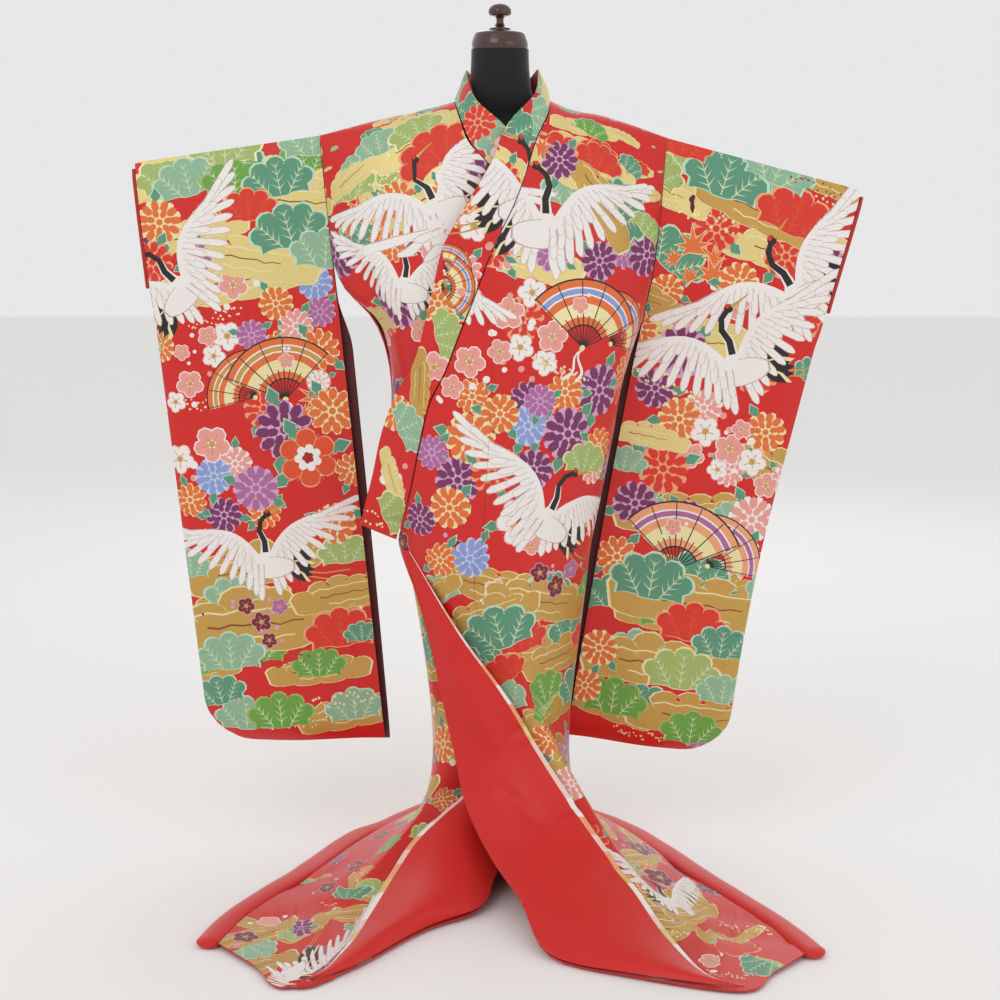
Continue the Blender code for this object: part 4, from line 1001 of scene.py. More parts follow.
def cloud(tone, chance):
    """Bank of gold mist: long lobed shape with a darker line along its edge and waves inside."""
    lobes = 6
    upper = []
    for k in range(lobes):
        share = (k + 0.5) / lobes - 0.5
        lift = 0.11 * math.cos(math.pi * share) * (0.8 + 0.4 * chance.random())
        upper.append(arc(0.105, 0.06 + 0.03 * chance.random(), 168, 12, 6, share * 0.94, lift))
    lower = []
    for k in range(4):
        share = 0.5 - (k + 0.5) / 4
        lower.append(arc(0.14, 0.035, -15, -165, 5, share * 0.86, -0.05 - 0.03 * math.cos(math.pi * share)))
    outline = np.concatenate(upper + lower)
    inner = moved(outline, 0, 0, 0, 0.965)
    parts = [(outline, "gold_line"), (inner, tone)]
    for k in range(3):
        x = np.linspace(-0.30 + 0.06 * k, 0.26 - 0.05 * k, 9)
        y = 0.075 - 0.065 * k + 0.018 * np.abs(np.sin(x * 21 + k))
        parts.append((ribbon(np.stack((x, y), axis=1), 0.010, 0.006), "brown" if k == 1 else "gold_line"))
    return parts


FLOWER_TONES = {
    "orange": ("orange", "gold_line"), "peony": ("scarlet", "apricot"), "purple": ("purple", "lilac"),
    "mauve": ("mauve", "lilac"), "blue": ("blue", "pale_blue"), "pink": ("pink", "white"),
    "white": ("white", "pink"), "flame": ("flame", "apricot"), "wine": ("wine", "mauve"),
}


def mum(tone, chance):
    """Chrysanthemum: rings of outlined petals, with leaves behind it."""
    fill, line = FLOWER_TONES[tone]
    parts = []
    first = chance.random() * 360
    for k in range(2):
        parts += leaf(first + 150 * k + 40 * chance.random())
    parts.append((lobed(0.5, 11, 0.22, 3), line))
    for radius, petals, size in ((0.355, 11, 0.105), (0.20, 7, 0.085)):
        for k in range(petals):
            angle = 360 * k / petals + first
            petal = arc(size * 1.25, size * 0.88, 0, 300, 6)
            x = radius * math.cos(math.radians(angle))
            y = radius * math.sin(math.radians(angle))
            parts.append((moved(petal, x, y, angle), fill))
    parts.append((disc(0.075, 7), fill))
    return parts


def leaf(turn):
    """Lobed leaf with a pale edge, set outward from its flower."""
    outline = np.array([(-0.16, 0), (-0.04, 0.10), (0.0, 0.07), (0.08, 0.11), (0.25, 0.0),
                        (0.08, -0.11), (0.0, -0.07), (-0.04, -0.10)])
    spot = (0.50 * math.cos(math.radians(turn)), 0.50 * math.sin(math.radians(turn)))
    return [(moved(outline, *spot, turn, 1.14), "mint"), (moved(outline, *spot, turn), "teal")]


def plum(tone, chance):
    """Plum blossom: five round petals, stamens and a bud or two."""
    fill, edge = {"pink": ("pink", "white"), "white": ("white", "pink"), "wine": ("wine", "lilac"),
                  "mauve": ("mauve", "lilac")}[tone]
    first = chance.random() * 72
    turns = [math.radians(first + 72 * k) for k in range(5)]
    spots = [(0.27 * math.cos(angle), 0.27 * math.sin(angle)) for angle in turns]
    parts = [(disc(0.225, 8, *spot), edge) for spot in spots]
    for spot in spots:
        parts.append((disc(0.190, 8, *spot), fill))
        parts.append((ribbon([(0, 0), spot], 0.020, 0.034), "deep"))
    parts.append((disc(0.085, 8), "deep"))
    for k in range(2):
        angle = chance.random() * 2 * math.pi
        parts.append((disc(0.11, 8, 0.72 * math.cos(angle), 0.72 * math.sin(angle)), edge))
    return parts


def camellia(tone, chance):
    """Camellia: broad lobed petals round a pale ring."""
    parts = []
    for k in range(3):
        parts += leaf(100 * k + 15)
    fill, line = FLOWER_TONES[tone]
    ring = "white" if tone != "white" else "apricot"
    parts.append((lobed(0.5, 6, 0.30, 6), line))
    parts.append((lobed(0.475, 6, 0.30, 6), fill))
    vein = ribbon([(0.22, 0), (0.34, 0.012), (0.44, 0)], 0.016, 0.006)
    parts += [(moved(vein, 0, 0, 60 * k), line) for k in range(6)]
    parts.append((lobed(0.23, 7, 0.25), ring))
    parts.append((lobed(0.10, 5, 0.25), "deep_red"))
    return parts


def maple(tone, chance):
    """Maple leaves: seven pointed fingers each."""
    parts = []
    for x, y, turn, size in ((0, 0, 90, 1.0), (0.42, -0.30, 40, 0.66), (-0.42, -0.26, 150, 0.60)):
        points = []
        for k in range(7):
            angle = math.radians(-126 + 42 * k)
            reach = 0.5 * (1 - 0.09 * abs(k - 3))
            points.append((reach * math.cos(angle), reach * math.sin(angle)))
            between = angle + math.radians(21)
            points.append((0.17 * math.cos(between), 0.17 * math.sin(between)))
        parts.append((moved(points, x, y, turn, size * 1.08), "gold_line"))
        parts.append((moved(points, x, y, turn, size * 0.94), tone))
    return parts


def dots(tone, chance):
    """Band of small scattered squares, as powdered gold."""
    tone = {"gold": "gold_line", "rust": "rust"}[tone]
    parts = []
    for k in range(26):
        x = -0.48 + 0.96 * (k + chance.random()) / 26
        y = (chance.random() - 0.5) * 0.24 * (1 - abs(x))
        parts.append((disc(0.018 + 0.010 * chance.random(), 4, x, y), tone))
    return parts


def wing(span, lean, bend, feathers):
    """Spread wing: a broad white web with long feathers beyond it, under rows of short ones."""
    shares = np.linspace(0, 1, 12)
    edge = np.stack((span * shares, bend * np.sin(math.pi * shares) * span), axis=1)
    parts = []
    rows = ((feathers, 0.50, 0.60, 0.088), (11, 0.31, 0.34, 0.080), (10, 0.19, 0.18, 0.076),
            (9, 0.09, 0.08, 0.070))
    for count, near, far, width in rows:
        for k in range(count):
            share = k / (count - 1)
            root = [np.interp(share * 0.95, shares, edge[:, axis]) for axis in (0, 1)]
            angle = -112 + 96 * share ** 1.5
            length = (near + (far - near) * share) * span
            half = width * span / 2
            blade = np.array([(0, -half * 0.9), (length * 0.86, -half), (length * 0.96, -half * 0.55),
                              (length, 0), (length * 0.96, half * 0.55), (length * 0.86, half),
                              (0, half * 0.9)])
            parts.append((moved(blade, *root, angle), "feather"))
            parts.append((moved(blade * (0.988, 0.84), *root, angle), "white"))
    parts.append((ribbon(edge * (0.97, 1.0), span * 0.085, span * 0.035), "white"))
    return [(moved(shape, 0, 0, lean), tone) for shape, tone in parts]


def crane(tone, chance):
    """Flying crane: two spread wings, black neck and tail, gold bill and legs."""
    parts = []
    for k in range(2):
        leg = [(-0.10, -0.05 - 0.02 * k), (-0.30, -0.14 - 0.035 * k), (-0.46, -0.17 - 0.06 * k)]
        parts.append((ribbon(leg, 0.010, 0.006), "deep"))
    for k in range(8):
        blade = np.array([(0, -0.020), (0.13, -0.024), (0.19, 0), (0.13, 0.024), (0, 0.020)])
        under = "gold_line" if k % 3 == 1 else "black"
        parts.append((moved(blade, -0.09, -0.02, 146 + 12 * k), under))
        parts.append((moved(blade, -0.09, -0.02, 150 + 12 * k, 0.90), "black"))
    far = [(shape * (-1, 1), part_tone) for shape, part_tone in wing(0.44, 22, 0.16, 12)]
    parts += [(moved(shape, -0.02, 0.03, 0), part_tone) for shape, part_tone in far]
    body = np.concatenate((arc(0.16, 0.060, 20, 160, 7, -0.01), arc(0.16, 0.075, 200, 340, 7, -0.01)))
    parts.append((moved(body, 0, 0, 14), "feather"))
    parts.append((moved(body, 0, 0, 14, 0.94), "white"))
    parts += [(moved(shape, 0.03, 0.03, 0), part_tone) for shape, part_tone in wing(0.46, 40, 0.20, 13)]
    neck = [(0.03, 0.03), (-0.015, 0.085), (-0.030, 0.150), (-0.020, 0.215), (-0.045, 0.270),
            (-0.095, 0.300)]
    parts.append((ribbon(neck[:4], 0.070, 0.034), "white"))
    parts.append((ribbon(neck[1:], 0.034, 0.026), "black"))
    parts.append((disc(0.024, 9, -0.100, 0.302), "black"))
    parts.append((disc(0.013, 7, -0.098, 0.316), "scarlet"))
    parts.append((ribbon([(-0.115, 0.303), (-0.165, 0.312), (-0.225, 0.325)], 0.020, 0.004), "deep"))
    return parts


def fan(tone, chance):
    """Two open folding fans with ribs, bands, a small flower and tied cords."""
    leaf_tone, band = {"gold": ("orange", "deep"), "mauve": ("apricot", "mauve"),
                       "orange": ("orange", "blue")}[tone]
    parts = []
    for x, y, turn, size in ((-0.16, -0.20, 24, 0.78), (0.10, -0.34, -10, 1.0)):
        shapes = []
        for low, high, part_tone in ((0.20, 0.62, "black"), (0.215, 0.605, leaf_tone),
                                     (0.47, 0.545, "white"), (0.485, 0.53, band),
                                     (0.28, 0.40, "gold_line")):
            sector = np.concatenate((arc(high, high, 32, 148, 15), arc(low, low, 148, 32, 9)))
            shapes.append((sector, part_tone))
        for k in range(11):
            angle = math.radians(34 + 112 * k / 10)
            rib = np.array([(0, 0), (0.3 * math.cos(angle), 0.3 * math.sin(angle)),
                            (0.60 * math.cos(angle), 0.60 * math.sin(angle))])
            shapes.append((ribbon(rib[:2] if k % 2 else rib, 0.012, 0.009), "black"))
        shapes.append((disc(0.030, 8), "gold_line"))
        for shape, part_tone in plum("pink", chance):
            shapes.append((moved(shape, 0.10, 0.37, 0, 0.17), part_tone))
        parts += [(moved(shape, x, y, turn, size), part_tone) for shape, part_tone in shapes]
    for reach, lean in ((0.26, -0.10), (0.30, 0.02)):
        x = np.linspace(0, 1, 8)
        line = np.stack((0.10 + lean * x + 0.03 * np.sin(7 * x), -0.36 - reach * x), axis=1)
        parts.append((ribbon(line, 0.016, 0.030), "white"))
    return parts


MOTIFS = {"pine": pine, "cloud": cloud, "mum": mum, "plum": plum, "camellia": camellia, "maple": maple,
          "dots": dots, "crane": crane, "fan": fan}


# Chosen motifs: kind, tone, place across and up (on the floor, back) and size in mm,
# then, where they aren't 0 and 1, the turn in degrees and the mirror

SLEEVE_RIGHT_LAYOUT = (
    ("cloud", "light", -592, 1295, 212), ("cloud", "light", -355, 1199, 283, -8),
    ("cloud", "light", -534, 1146, 195, 10), ("cloud", "light", -446, 1098, 266, -15),
    ("pine", "leaf", -487, 1281, 142), ("pine", "sage", -550, 1225, 131, 10),
    ("pine", "bright", -469, 1222, 127, -5), ("pine", "teal", -390, 1225, 135, 5),
    ("pine", "flame", -445, 1180, 110), ("pine", "teal", -371, 1137, 149, 10),
    ("pine", "sage", -312, 1098, 135, -10), ("pine", "sage", -332, 1295, 124),
    ("mum", "orange", -605, 1169, 81), ("mum", "peony", -620, 1098, 78), ("mum", "mauve", -543, 1106, 60),
    ("plum", "pink", -559, 880, 53), ("plum", "white", -515, 930, 46), ("plum", "white", -586, 847, 42),
    ("plum", "pink", -525, 966, 39), ("plum", "white", -494, 880, 39), ("plum", "pink", -572, 937, 32),
    ("mum", "orange", -401, 1025, 64), ("mum", "mauve", -446, 968, 57), ("mum", "mauve", -323, 1009, 57),
    ("mum", "pink", -366, 984, 64), ("mum", "orange", -327, 941, 78), ("mum", "white", -328, 883, 46),
    ("mum", "orange", -304, 829, 89), ("fan", "gold", -429, 901, 184, 18),
    ("mum", "purple", -391, 796, 110), ("camellia", "flame", -349, 744, 110),
    ("mum", "blue", -520, 711, 71), ("mum", "mauve", -444, 689, 85), ("plum", "pink", -522, 770, 71),
    ("mum", "orange", -269, 722, 64), ("mum", "orange", -565, 667, 64),
    ("dots", "gold", -511, 999, 106, 10), ("cloud", "deep", -443, 427, 407),
    ("cloud", "deep", -276, 488, 230, 5), ("pine", "leaf", -284, 555, 106),
    ("mum", "orange", -301, 621, 78), ("pine", "flame", -292, 401, 142), ("pine", "sage", -496, 359, 135),
    ("pine", "teal", -516, 290, 106, 10), ("pine", "bright", -405, 248, 131),
    ("pine", "teal", -255, 405, 71), ("dots", "rust", -399, 367, 106), ("dots", "gold", -288, 290, 124),
    ("plum", "wine", -439, 439, 42), ("plum", "wine", -467, 469, 35), ("plum", "mauve", -405, 469, 32),
    ("plum", "wine", -425, 405, 32), ("crane", "", -562, 1045, 336, 28),
    ("crane", "", -425, 544, 312, 12, -1),
)
SLEEVE_LEFT_LAYOUT = (
    ("cloud", "deep", 594, 1234, 230, -8), ("cloud", "light", 284, 1225, 212, -20),
    ("cloud", "deep", 462, 1182, 266, -15), ("cloud", "deep", 251, 1031, 195, -10),
    ("pine", "teal", 394, 1225, 163, -10), ("pine", "flame", 322, 1292, 113, -10),
    ("pine", "flame", 516, 1159, 156, -12), ("pine", "sage", 488, 1246, 142, -14),
    ("pine", "leaf", 275, 1250, 106, -30), ("pine", "teal", 300, 1098, 138, -35),
    ("pine", "bright", 223, 1146, 106, -40), ("dots", "gold", 356, 1183, 149, -15),
    ("dots", "rust", 571, 1225, 124, -12), ("maple", "orange", 344, 1127, 81, 10),
    ("maple", "orange", 379, 1074, 81, -20), ("mum", "orange", 426, 1063, 74),
    ("mum", "purple", 583, 1081, 99), ("mum", "peony", 585, 999, 89), ("mum", "peony", 462, 901, 85),
    ("mum", "purple", 328, 937, 99), ("mum", "orange", 251, 977, 71), ("dots", "gold", 303, 878, 142, -14),
    ("mum", "orange", 326, 814, 81), ("plum", "white", 373, 792, 60), ("plum", "pink", 417, 759, 60),
    ("plum", "white", 458, 737, 57), ("plum", "pink", 349, 748, 50), ("plum", "white", 396, 722, 42),
    ("plum", "pink", 484, 693, 50), ("plum", "pink", 438, 796, 39), ("mum", "peony", 298, 722, 96),
    ("mum", "purple", 248, 656, 85), ("mum", "pink", 460, 630, 89), ("mum", "pink", 443, 559, 78),
    ("cloud", "light", 272, 777, 159), ("pine", "sage", 227, 722, 89), ("mum", "orange", 216, 555, 81),
    ("fan", "mauve", 366, 593, 205, -12, -1), ("cloud", "deep", 368, 461, 372),
    ("cloud", "deep", 296, 351, 319, 4), ("cloud", "deep", 372, 248, 301), ("pine", "teal", 276, 492, 166),
    ("pine", "flame", 351, 412, 142), ("pine", "sage", 487, 484, 106), ("pine", "teal", 407, 378, 117),
    ("pine", "leaf", 334, 321, 152), ("pine", "bright", 208, 267, 138), ("pine", "sage", 412, 290, 106),
    ("pine", "bright", 354, 213, 124), ("mum", "orange", 185, 382, 71), ("mum", "orange", 159, 309, 64),
    ("dots", "gold", 261, 223, 106), ("crane", "", 537, 1031, 372, 58, -1),
    ("crane", "", 429, 901, 372, 40, -1),
)
FRONT_LAYOUT = (
    ("cloud", "light", -137, 1312, 212, 10), ("cloud", "light", 103, 1265, 195, -10),
    ("cloud", "deep", 173, 1210, 212, -35), ("cloud", "light", -259, 1248, 195, 8),
    ("cloud", "light", -227, 986, 195), ("pine", "sage", -210, 1296, 149),
    ("pine", "leaf", -141, 1323, 131, 10), ("pine", "flame", -107, 1282, 149),
    ("pine", "bright", 158, 1326, 135, -10), ("pine", "flame", 172, 1268, 113, -10),
    ("pine", "teal", 227, 1262, 106, -30), ("pine", "teal", 218, 1187, 127, -40),
    ("pine", "teal", -246, 1121, 124), ("pine", "leaf", 260, 1156, 106, -30),
    ("dots", "gold", -221, 1224, 124, 8), ("maple", "orange", -245, 1187, 78),
    ("maple", "orange", -201, 1183, 78, 20), ("mum", "orange", -187, 1132, 64),
    ("mum", "purple", -34, 1241, 99), ("mum", "purple", -181, 1031, 96), ("mum", "purple", 103, 1279, 71),
    ("maple", "orange", 51, 1333, 78), ("mum", "purple", 174, 1104, 71), ("mum", "peony", -52, 1142, 71),
    ("plum", "pink", 14, 1017, 60), ("plum", "white", 56, 1052, 57), ("plum", "pink", 91, 975, 60),
    ("plum", "white", 35, 958, 53), ("plum", "pink", 115, 1045, 50), ("plum", "pink", 0, 951, 46),
    ("plum", "white", 79, 930, 50), ("plum", "white", -52, 1038, 53), ("plum", "pink", -53, 933, 60),
    ("plum", "pink", -84, 888, 46), ("mum", "purple", 176, 877, 96), ("mum", "orange", 114, 877, 71),
    ("mum", "blue", 49, 820, 74), ("mum", "purple", 120, 803, 96), ("mum", "orange", 0, 842, 71),
    ("mum", "mauve", 70, 863, 60), ("mum", "orange", -53, 799, 92), ("mum", "mauve", -120, 771, 64),
    ("mum", "orange", -89, 674, 78), ("mum", "peony", -14, 738, 78), ("mum", "purple", -142, 649, 64),
    ("camellia", "white", 36, 649, 89), ("mum", "orange", 176, 774, 71), ("mum", "blue", -53, 583, 71),
    ("fan", "orange", 185, 1007, 198, -10, -1), ("pine", "leaf", 150, 738, 106),
    ("dots", "gold", 105, 916, 124), ("cloud", "deep", 81, 492, 266), ("cloud", "deep", -18, 474, 212, 8),
    ("cloud", "deep", 108, 385, 230), ("cloud", "deep", -125, 503, 159, 8), ("pine", "teal", 4, 430, 149),
    ("pine", "flame", 22, 370, 113), ("pine", "flame", 162, 400, 99), ("pine", "bright", 81, 318, 113),
    ("pine", "teal", -115, 430, 106), ("plum", "wine", 100, 525, 46), ("plum", "wine", 71, 554, 39),
    ("plum", "mauve", 128, 551, 39), ("mum", "orange", 87, 258, 71), ("mum", "orange", -107, 576, 64),
    ("crane", "", -104, 1187, 336, 20, -1), ("crane", "", -167, 1052, 283, -12, -1),
    ("crane", "", 78, 1156, 389, 14), ("crane", "", 80, 641, 347, 8, -1),
)
TRAIN_RIGHT_LAYOUT = (
    ("cloud", "deep", -264, -370, 212, 20), ("cloud", "deep", -385, -565, 212, 10),
    ("pine", "teal", -269, -304, 124, 20), ("pine", "bright", -207, -176, 106, 20),
    ("mum", "mauve", -291, -536, 78), ("mum", "purple", -335, -424, 71), ("mum", "orange", -187, -16, 71),
    ("pine", "sage", -409, -502, 106, 15), ("plum", "white", -157, 159, 53),
    ("crane", "", -333, -605, 266, 12),
)
TRAIN_LEFT_LAYOUT = (
    ("cloud", "deep", 251, -176, 195, -30), ("cloud", "deep", 340, -370, 212, -30),
    ("plum", "wine", 283, -237, 71), ("plum", "wine", 316, -295, 64), ("plum", "wine", 256, -114, 64),
    ("mum", "orange", 224, -27, 71), ("pine", "flame", 379, -481, 124, -20),
    ("pine", "teal", 425, -565, 106, -20), ("crane", "", 296, -333, 266, -30),
)
BACK_LAYOUT = (
    ("cloud", "light", -120, 1300, 260, 4), ("cloud", "light", 140, 1260, 240, -6),
    ("pine", "teal", -200, 1280, 150), ("pine", "sage", 200, 1300, 140), ("pine", "flame", 0, 1320, 130),
    ("mum", "purple", 80, 1190, 100), ("mum", "peony", -200, 1160, 90), ("plum", "pink", 180, 1120, 70),
    ("plum", "white", 130, 1080, 70), ("plum", "pink", -50, 980, 60), ("mum", "orange", 120, 900, 100),
    ("mum", "mauve", 30, 880, 90), ("camellia", "flame", -120, 860, 110), ("mum", "blue", -30, 830, 80),
    ("fan", "mauve", 80, 1000, 190, 12), ("cloud", "deep", -60, 660, 260), ("pine", "teal", 60, 660, 140),
    ("pine", "flame", -80, 600, 130), ("cloud", "deep", 80, 420, 240), ("pine", "bright", -40, 420, 130),
    ("crane", "", -100, 1080, 360, 16), ("crane", "", 120, 760, 340, 8, -1),
    ("crane", "", -50, 280, 300, 20),
)


def choose(chance, options):
    """One of the options, each a tuple that starts with its weight."""
    mark = chance.random() * sum(option[0] for option in options)
    for option in options:
        mark -= option[0]
        if mark <= 0:
            return option[1:]
    return options[-1][1:]


# Background motifs: weight, kind, tone and size of each
PINES_AND_MIST = ((3, "pine", "teal", 0.125), (3, "pine", "sage", 0.120), (2, "pine", "leaf", 0.125),
                  (1.4, "pine", "bright", 0.110), (1.8, "pine", "flame", 0.115),
                  (1, "mum", "orange", 0.070), (1, "dots", "gold", 0.110))
BLOSSOMS = ((3, "mum", "orange", 0.070), (2, "mum", "purple", 0.080), (2, "mum", "mauve", 0.070),
            (2, "mum", "peony", 0.080), (1.5, "mum", "pink", 0.065), (1, "mum", "blue", 0.065),
            (1.2, "plum", "white", 0.055), (1.8, "plum", "pink", 0.060), (0.8, "maple", "orange", 0.075),
            (0.6, "camellia", "flame", 0.090), (0.6, "dots", "gold", 0.110), (1.5, "pine", "teal", 0.085))
PLUM_BOUGHS = ((4, "plum", "white", 0.055), (5, "plum", "pink", 0.060), (2, "mum", "orange", 0.065),
               (2, "mum", "peony", 0.075), (1.5, "mum", "mauve", 0.065), (1, "dots", "gold", 0.110),
               (1.5, "pine", "sage", 0.080))
OPEN_RED = ((3, "dots", "gold", 0.120), (2, "mum", "orange", 0.065), (2, "plum", "wine", 0.045),
            (1, "mum", "purple", 0.070), (2, "pine", "sage", 0.090), (1, "pine", "leaf", 0.090),
            (1, "plum", "pink", 0.050))
# Zones by height: lowest height, motifs, and how much mist
ZONES = ((1.16, PINES_AND_MIST, 0.55), (1.03, BLOSSOMS, 0.20), (0.90, PLUM_BOUGHS, 0.10),
         (0.70, BLOSSOMS, 0.10), (0.52, OPEN_RED, 0.35), (0.24, PINES_AND_MIST, 0.65),
         (0.10, BLOSSOMS, 0.25), (-1.0, OPEN_RED, 0.35))


# Spacing of the background motifs on the panels and on the collar
BACKGROUND_PITCH = 0.098
COLLAR_PITCH = 0.075


def background(chart, outline, seed, pitch=BACKGROUND_PITCH):
    """Mist, boughs and flowers scattered evenly over a panel, by height."""
    chance = random.Random(seed)
    low = outline.min(axis=0)
    high = outline.max(axis=0)
    mist = []
    growth = []
    columns = max(1, round((high[0] - low[0]) / pitch))
    rows = max(1, round((high[1] - low[1]) / pitch))
    for row in range(rows):
        for column in range(columns):
            shift = 0.5 * (row % 2)
            spot = low + (high - low) * ((column + 0.25 + shift + 0.4 * chance.random()) / columns,
                                         (row + 0.3 + 0.4 * chance.random()) / rows)
            height = chart.at(spot[None])[0][2]
            options, misty = next((zone[1], zone[2]) for zone in ZONES if height >= zone[0])
            if chance.random() < misty:
                tone = "light" if height > 0.9 else "deep"
                mist += lay_motif(chart, "cloud", tone, spot, 0.20 + 0.10 * chance.random(),
                                  chance.uniform(-12, 12), 1, chance)
            kind, tone, size = choose(chance, options)
            size *= 0.88 + 0.24 * chance.random()
            turn = chance.uniform(-16, 16)
            growth += lay_motif(chart, kind, tone, spot, size, turn, chance.choice((-1, 1)), chance)
    return mist + growth


def lay_motif(chart, kind, tone, spot, size, turn, mirror, chance):
    """A motif's shapes as places on the cloth, each with its tone."""
    shapes = [(np.asarray(shape), part_tone) for shape, part_tone in MOTIFS[kind](tone, chance)]
    places = chart.lay(np.concatenate([shape for shape, _ in shapes]) * size, spot, turn, mirror)
    cuts = np.cumsum([len(shape) for shape, _ in shapes])[:-1]
    return [(place, part_tone) for place, (_, part_tone) in zip(np.split(places, cuts), shapes)]


def layout(chart, table, seed, axes=(0, 2)):
    """The chosen motifs of a table, found by their places in two world axes."""
    chance = random.Random(seed)
    laid = []
    for kind, tone, a, b, size, *pose in table:
        turn = pose[0] if pose else 0
        mirror = pose[1] if pose[1:] else 1
        spot = chart.find((a / 1000, b / 1000), list(axes))
        laid += lay_motif(chart, kind, tone, spot, size / 1000, turn, mirror, chance)
    return laid


def box_outline(size, down, across):
    """Outline of a whole chart, with so many points down and across."""
    corners = size * np.array(((0, 0), (0, 1), (1, 1), (1, 0)))
    ends = zip(corners, np.roll(corners, -1, axis=0), (down, across, down, across))
    return np.concatenate([np.linspace(start, end, count)[:-1] for start, end, count in ends])


def near_outline(motifs, outline):
    """Only the shapes that reach the panel's own box."""
    low = outline.min(axis=0)
    high = outline.max(axis=0)
    return [(shape, tone) for shape, tone in motifs
            if (shape.max(axis=0) > low).all() and (shape.min(axis=0) < high).all()]


def press(chart, creases, axes=(0, 2)):
    """Soft troughs and ridges along lines: start, end, half width and depth, seen along one axis."""
    points = chart.points.copy()
    rows, columns = points.shape[:2]
    columns_at, rows_at = np.meshgrid(np.arange(columns), np.arange(rows))
    places = np.stack((columns_at.ravel(), rows_at.ravel()), axis=1) * chart.step
    normals = chart.normals(places).reshape(rows, columns, 3)
    flat = points[:, :, list(axes)]
    for a0, b0, a1, b1, half_width, depth in creases:
        start = np.array((a0, b0))
        along = np.array((a1, b1)) - start
        share = ((flat - start) @ along) / (along @ along)
        away = np.linalg.norm(flat - start - np.clip(share, 0, 1)[:, :, None] * along, axis=2)
        fade = np.clip(np.minimum(share + 0.15, 1.15 - share) / 0.3, 0, 1)
        points -= normals * (depth * fade * np.exp(-(away / half_width) ** 2))[:, :, None]
    chart.set_points(points)


# Rows of the robe's body: levels above the waist edge, then shares below it
TOP_LEVEL = 1.9985
BODY_ROWS = 47
SKIRT_ROWS = 58
SHEET_PLACES = ([TOP_LEVEL - TOP_LEVEL * i / BODY_ROWS for i in range(BODY_ROWS)]
                + [-i / SKIRT_ROWS for i in range(SKIRT_ROWS + 1)])


def sheet_chart(half, first, last, columns, facing):
    shares = np.linspace(first, last, columns)
    return Chart([[half.sheet(share, place) for share in shares] for place in SHEET_PLACES], facing)


def share_outline(chart, first, last, start_share, end_share, places):
    """Outline of a panel between two seams, given as shares of the sheet at each place."""
    rows = np.interp([-p for p in places], [-p for p in SHEET_PLACES], np.arange(len(SHEET_PLACES)))
    sides = []
    for share_at in (start_share, end_share):
        columns = [(share_at(place) - first) / (last - first) * (chart.count[0] - 1) for place in places]
        sides.append(np.stack((columns, rows), axis=1) * chart.step)
    bottom = np.linspace(sides[0][-1], sides[1][-1], 12)[1:-1]
    top = np.linspace(sides[1][0], sides[0][0], 12)[1:-1]
    return np.concatenate((sides[0], bottom, sides[1][::-1], top))


# Creases as press reads them, for the left half and the right
FRONT_CREASES = {
    True: ((0.195, 1.315, 0.235, 1.200, 0.014, 0.007), (0.235, 1.200, 0.250, 1.060, 0.016, 0.006),
           (0.090, 1.020, 0.135, 0.820, 0.020, 0.004), (0.190, 0.990, 0.120, 0.900, 0.016, 0.004),
           (0.020, 0.800, 0.060, 0.560, 0.018, 0.004), (0.110, 0.720, 0.120, 0.520, 0.020, 0.005),
           (0.170, 0.850, 0.150, 0.640, 0.018, 0.004)),
    False: ((-0.275, 1.150, -0.190, 0.960, 0.016, 0.007), (-0.255, 1.080, -0.185, 0.900, 0.014, 0.006),
            (-0.150, 1.250, -0.230, 1.120, 0.020, 0.005), (-0.190, 0.900, -0.150, 0.740, 0.016, 0.004)),
}
BACK_CREASES = {
    True: ((0.200, 1.300, 0.215, 1.080, 0.018, 0.006), (0.080, 1.150, 0.060, 0.900, 0.022, 0.004),
           (0.140, 0.900, 0.110, 0.620, 0.022, 0.006), (0.060, 0.620, 0.050, 0.300, 0.020, 0.005)),
    False: ((-0.205, 1.290, -0.220, 1.060, 0.018, 0.006), (-0.070, 1.120, -0.050, 0.880, 0.022, 0.004),
            (-0.130, 0.880, -0.105, 0.600, 0.022, 0.006), (-0.070, 0.600, -0.060, 0.280, 0.020, 0.005)),
}
TRAIN_CREASES = {
    True: ((0.30, -0.12, 0.40, -0.22, 0.020, 0.005), (0.28, -0.30, 0.44, -0.40, 0.018, 0.004),
           (0.36, -0.45, 0.50, -0.48, 0.016, 0.004)),
    False: ((-0.28, -0.16, -0.40, -0.24, 0.020, 0.005), (-0.24, -0.32, -0.42, -0.40, 0.018, 0.004)),
}


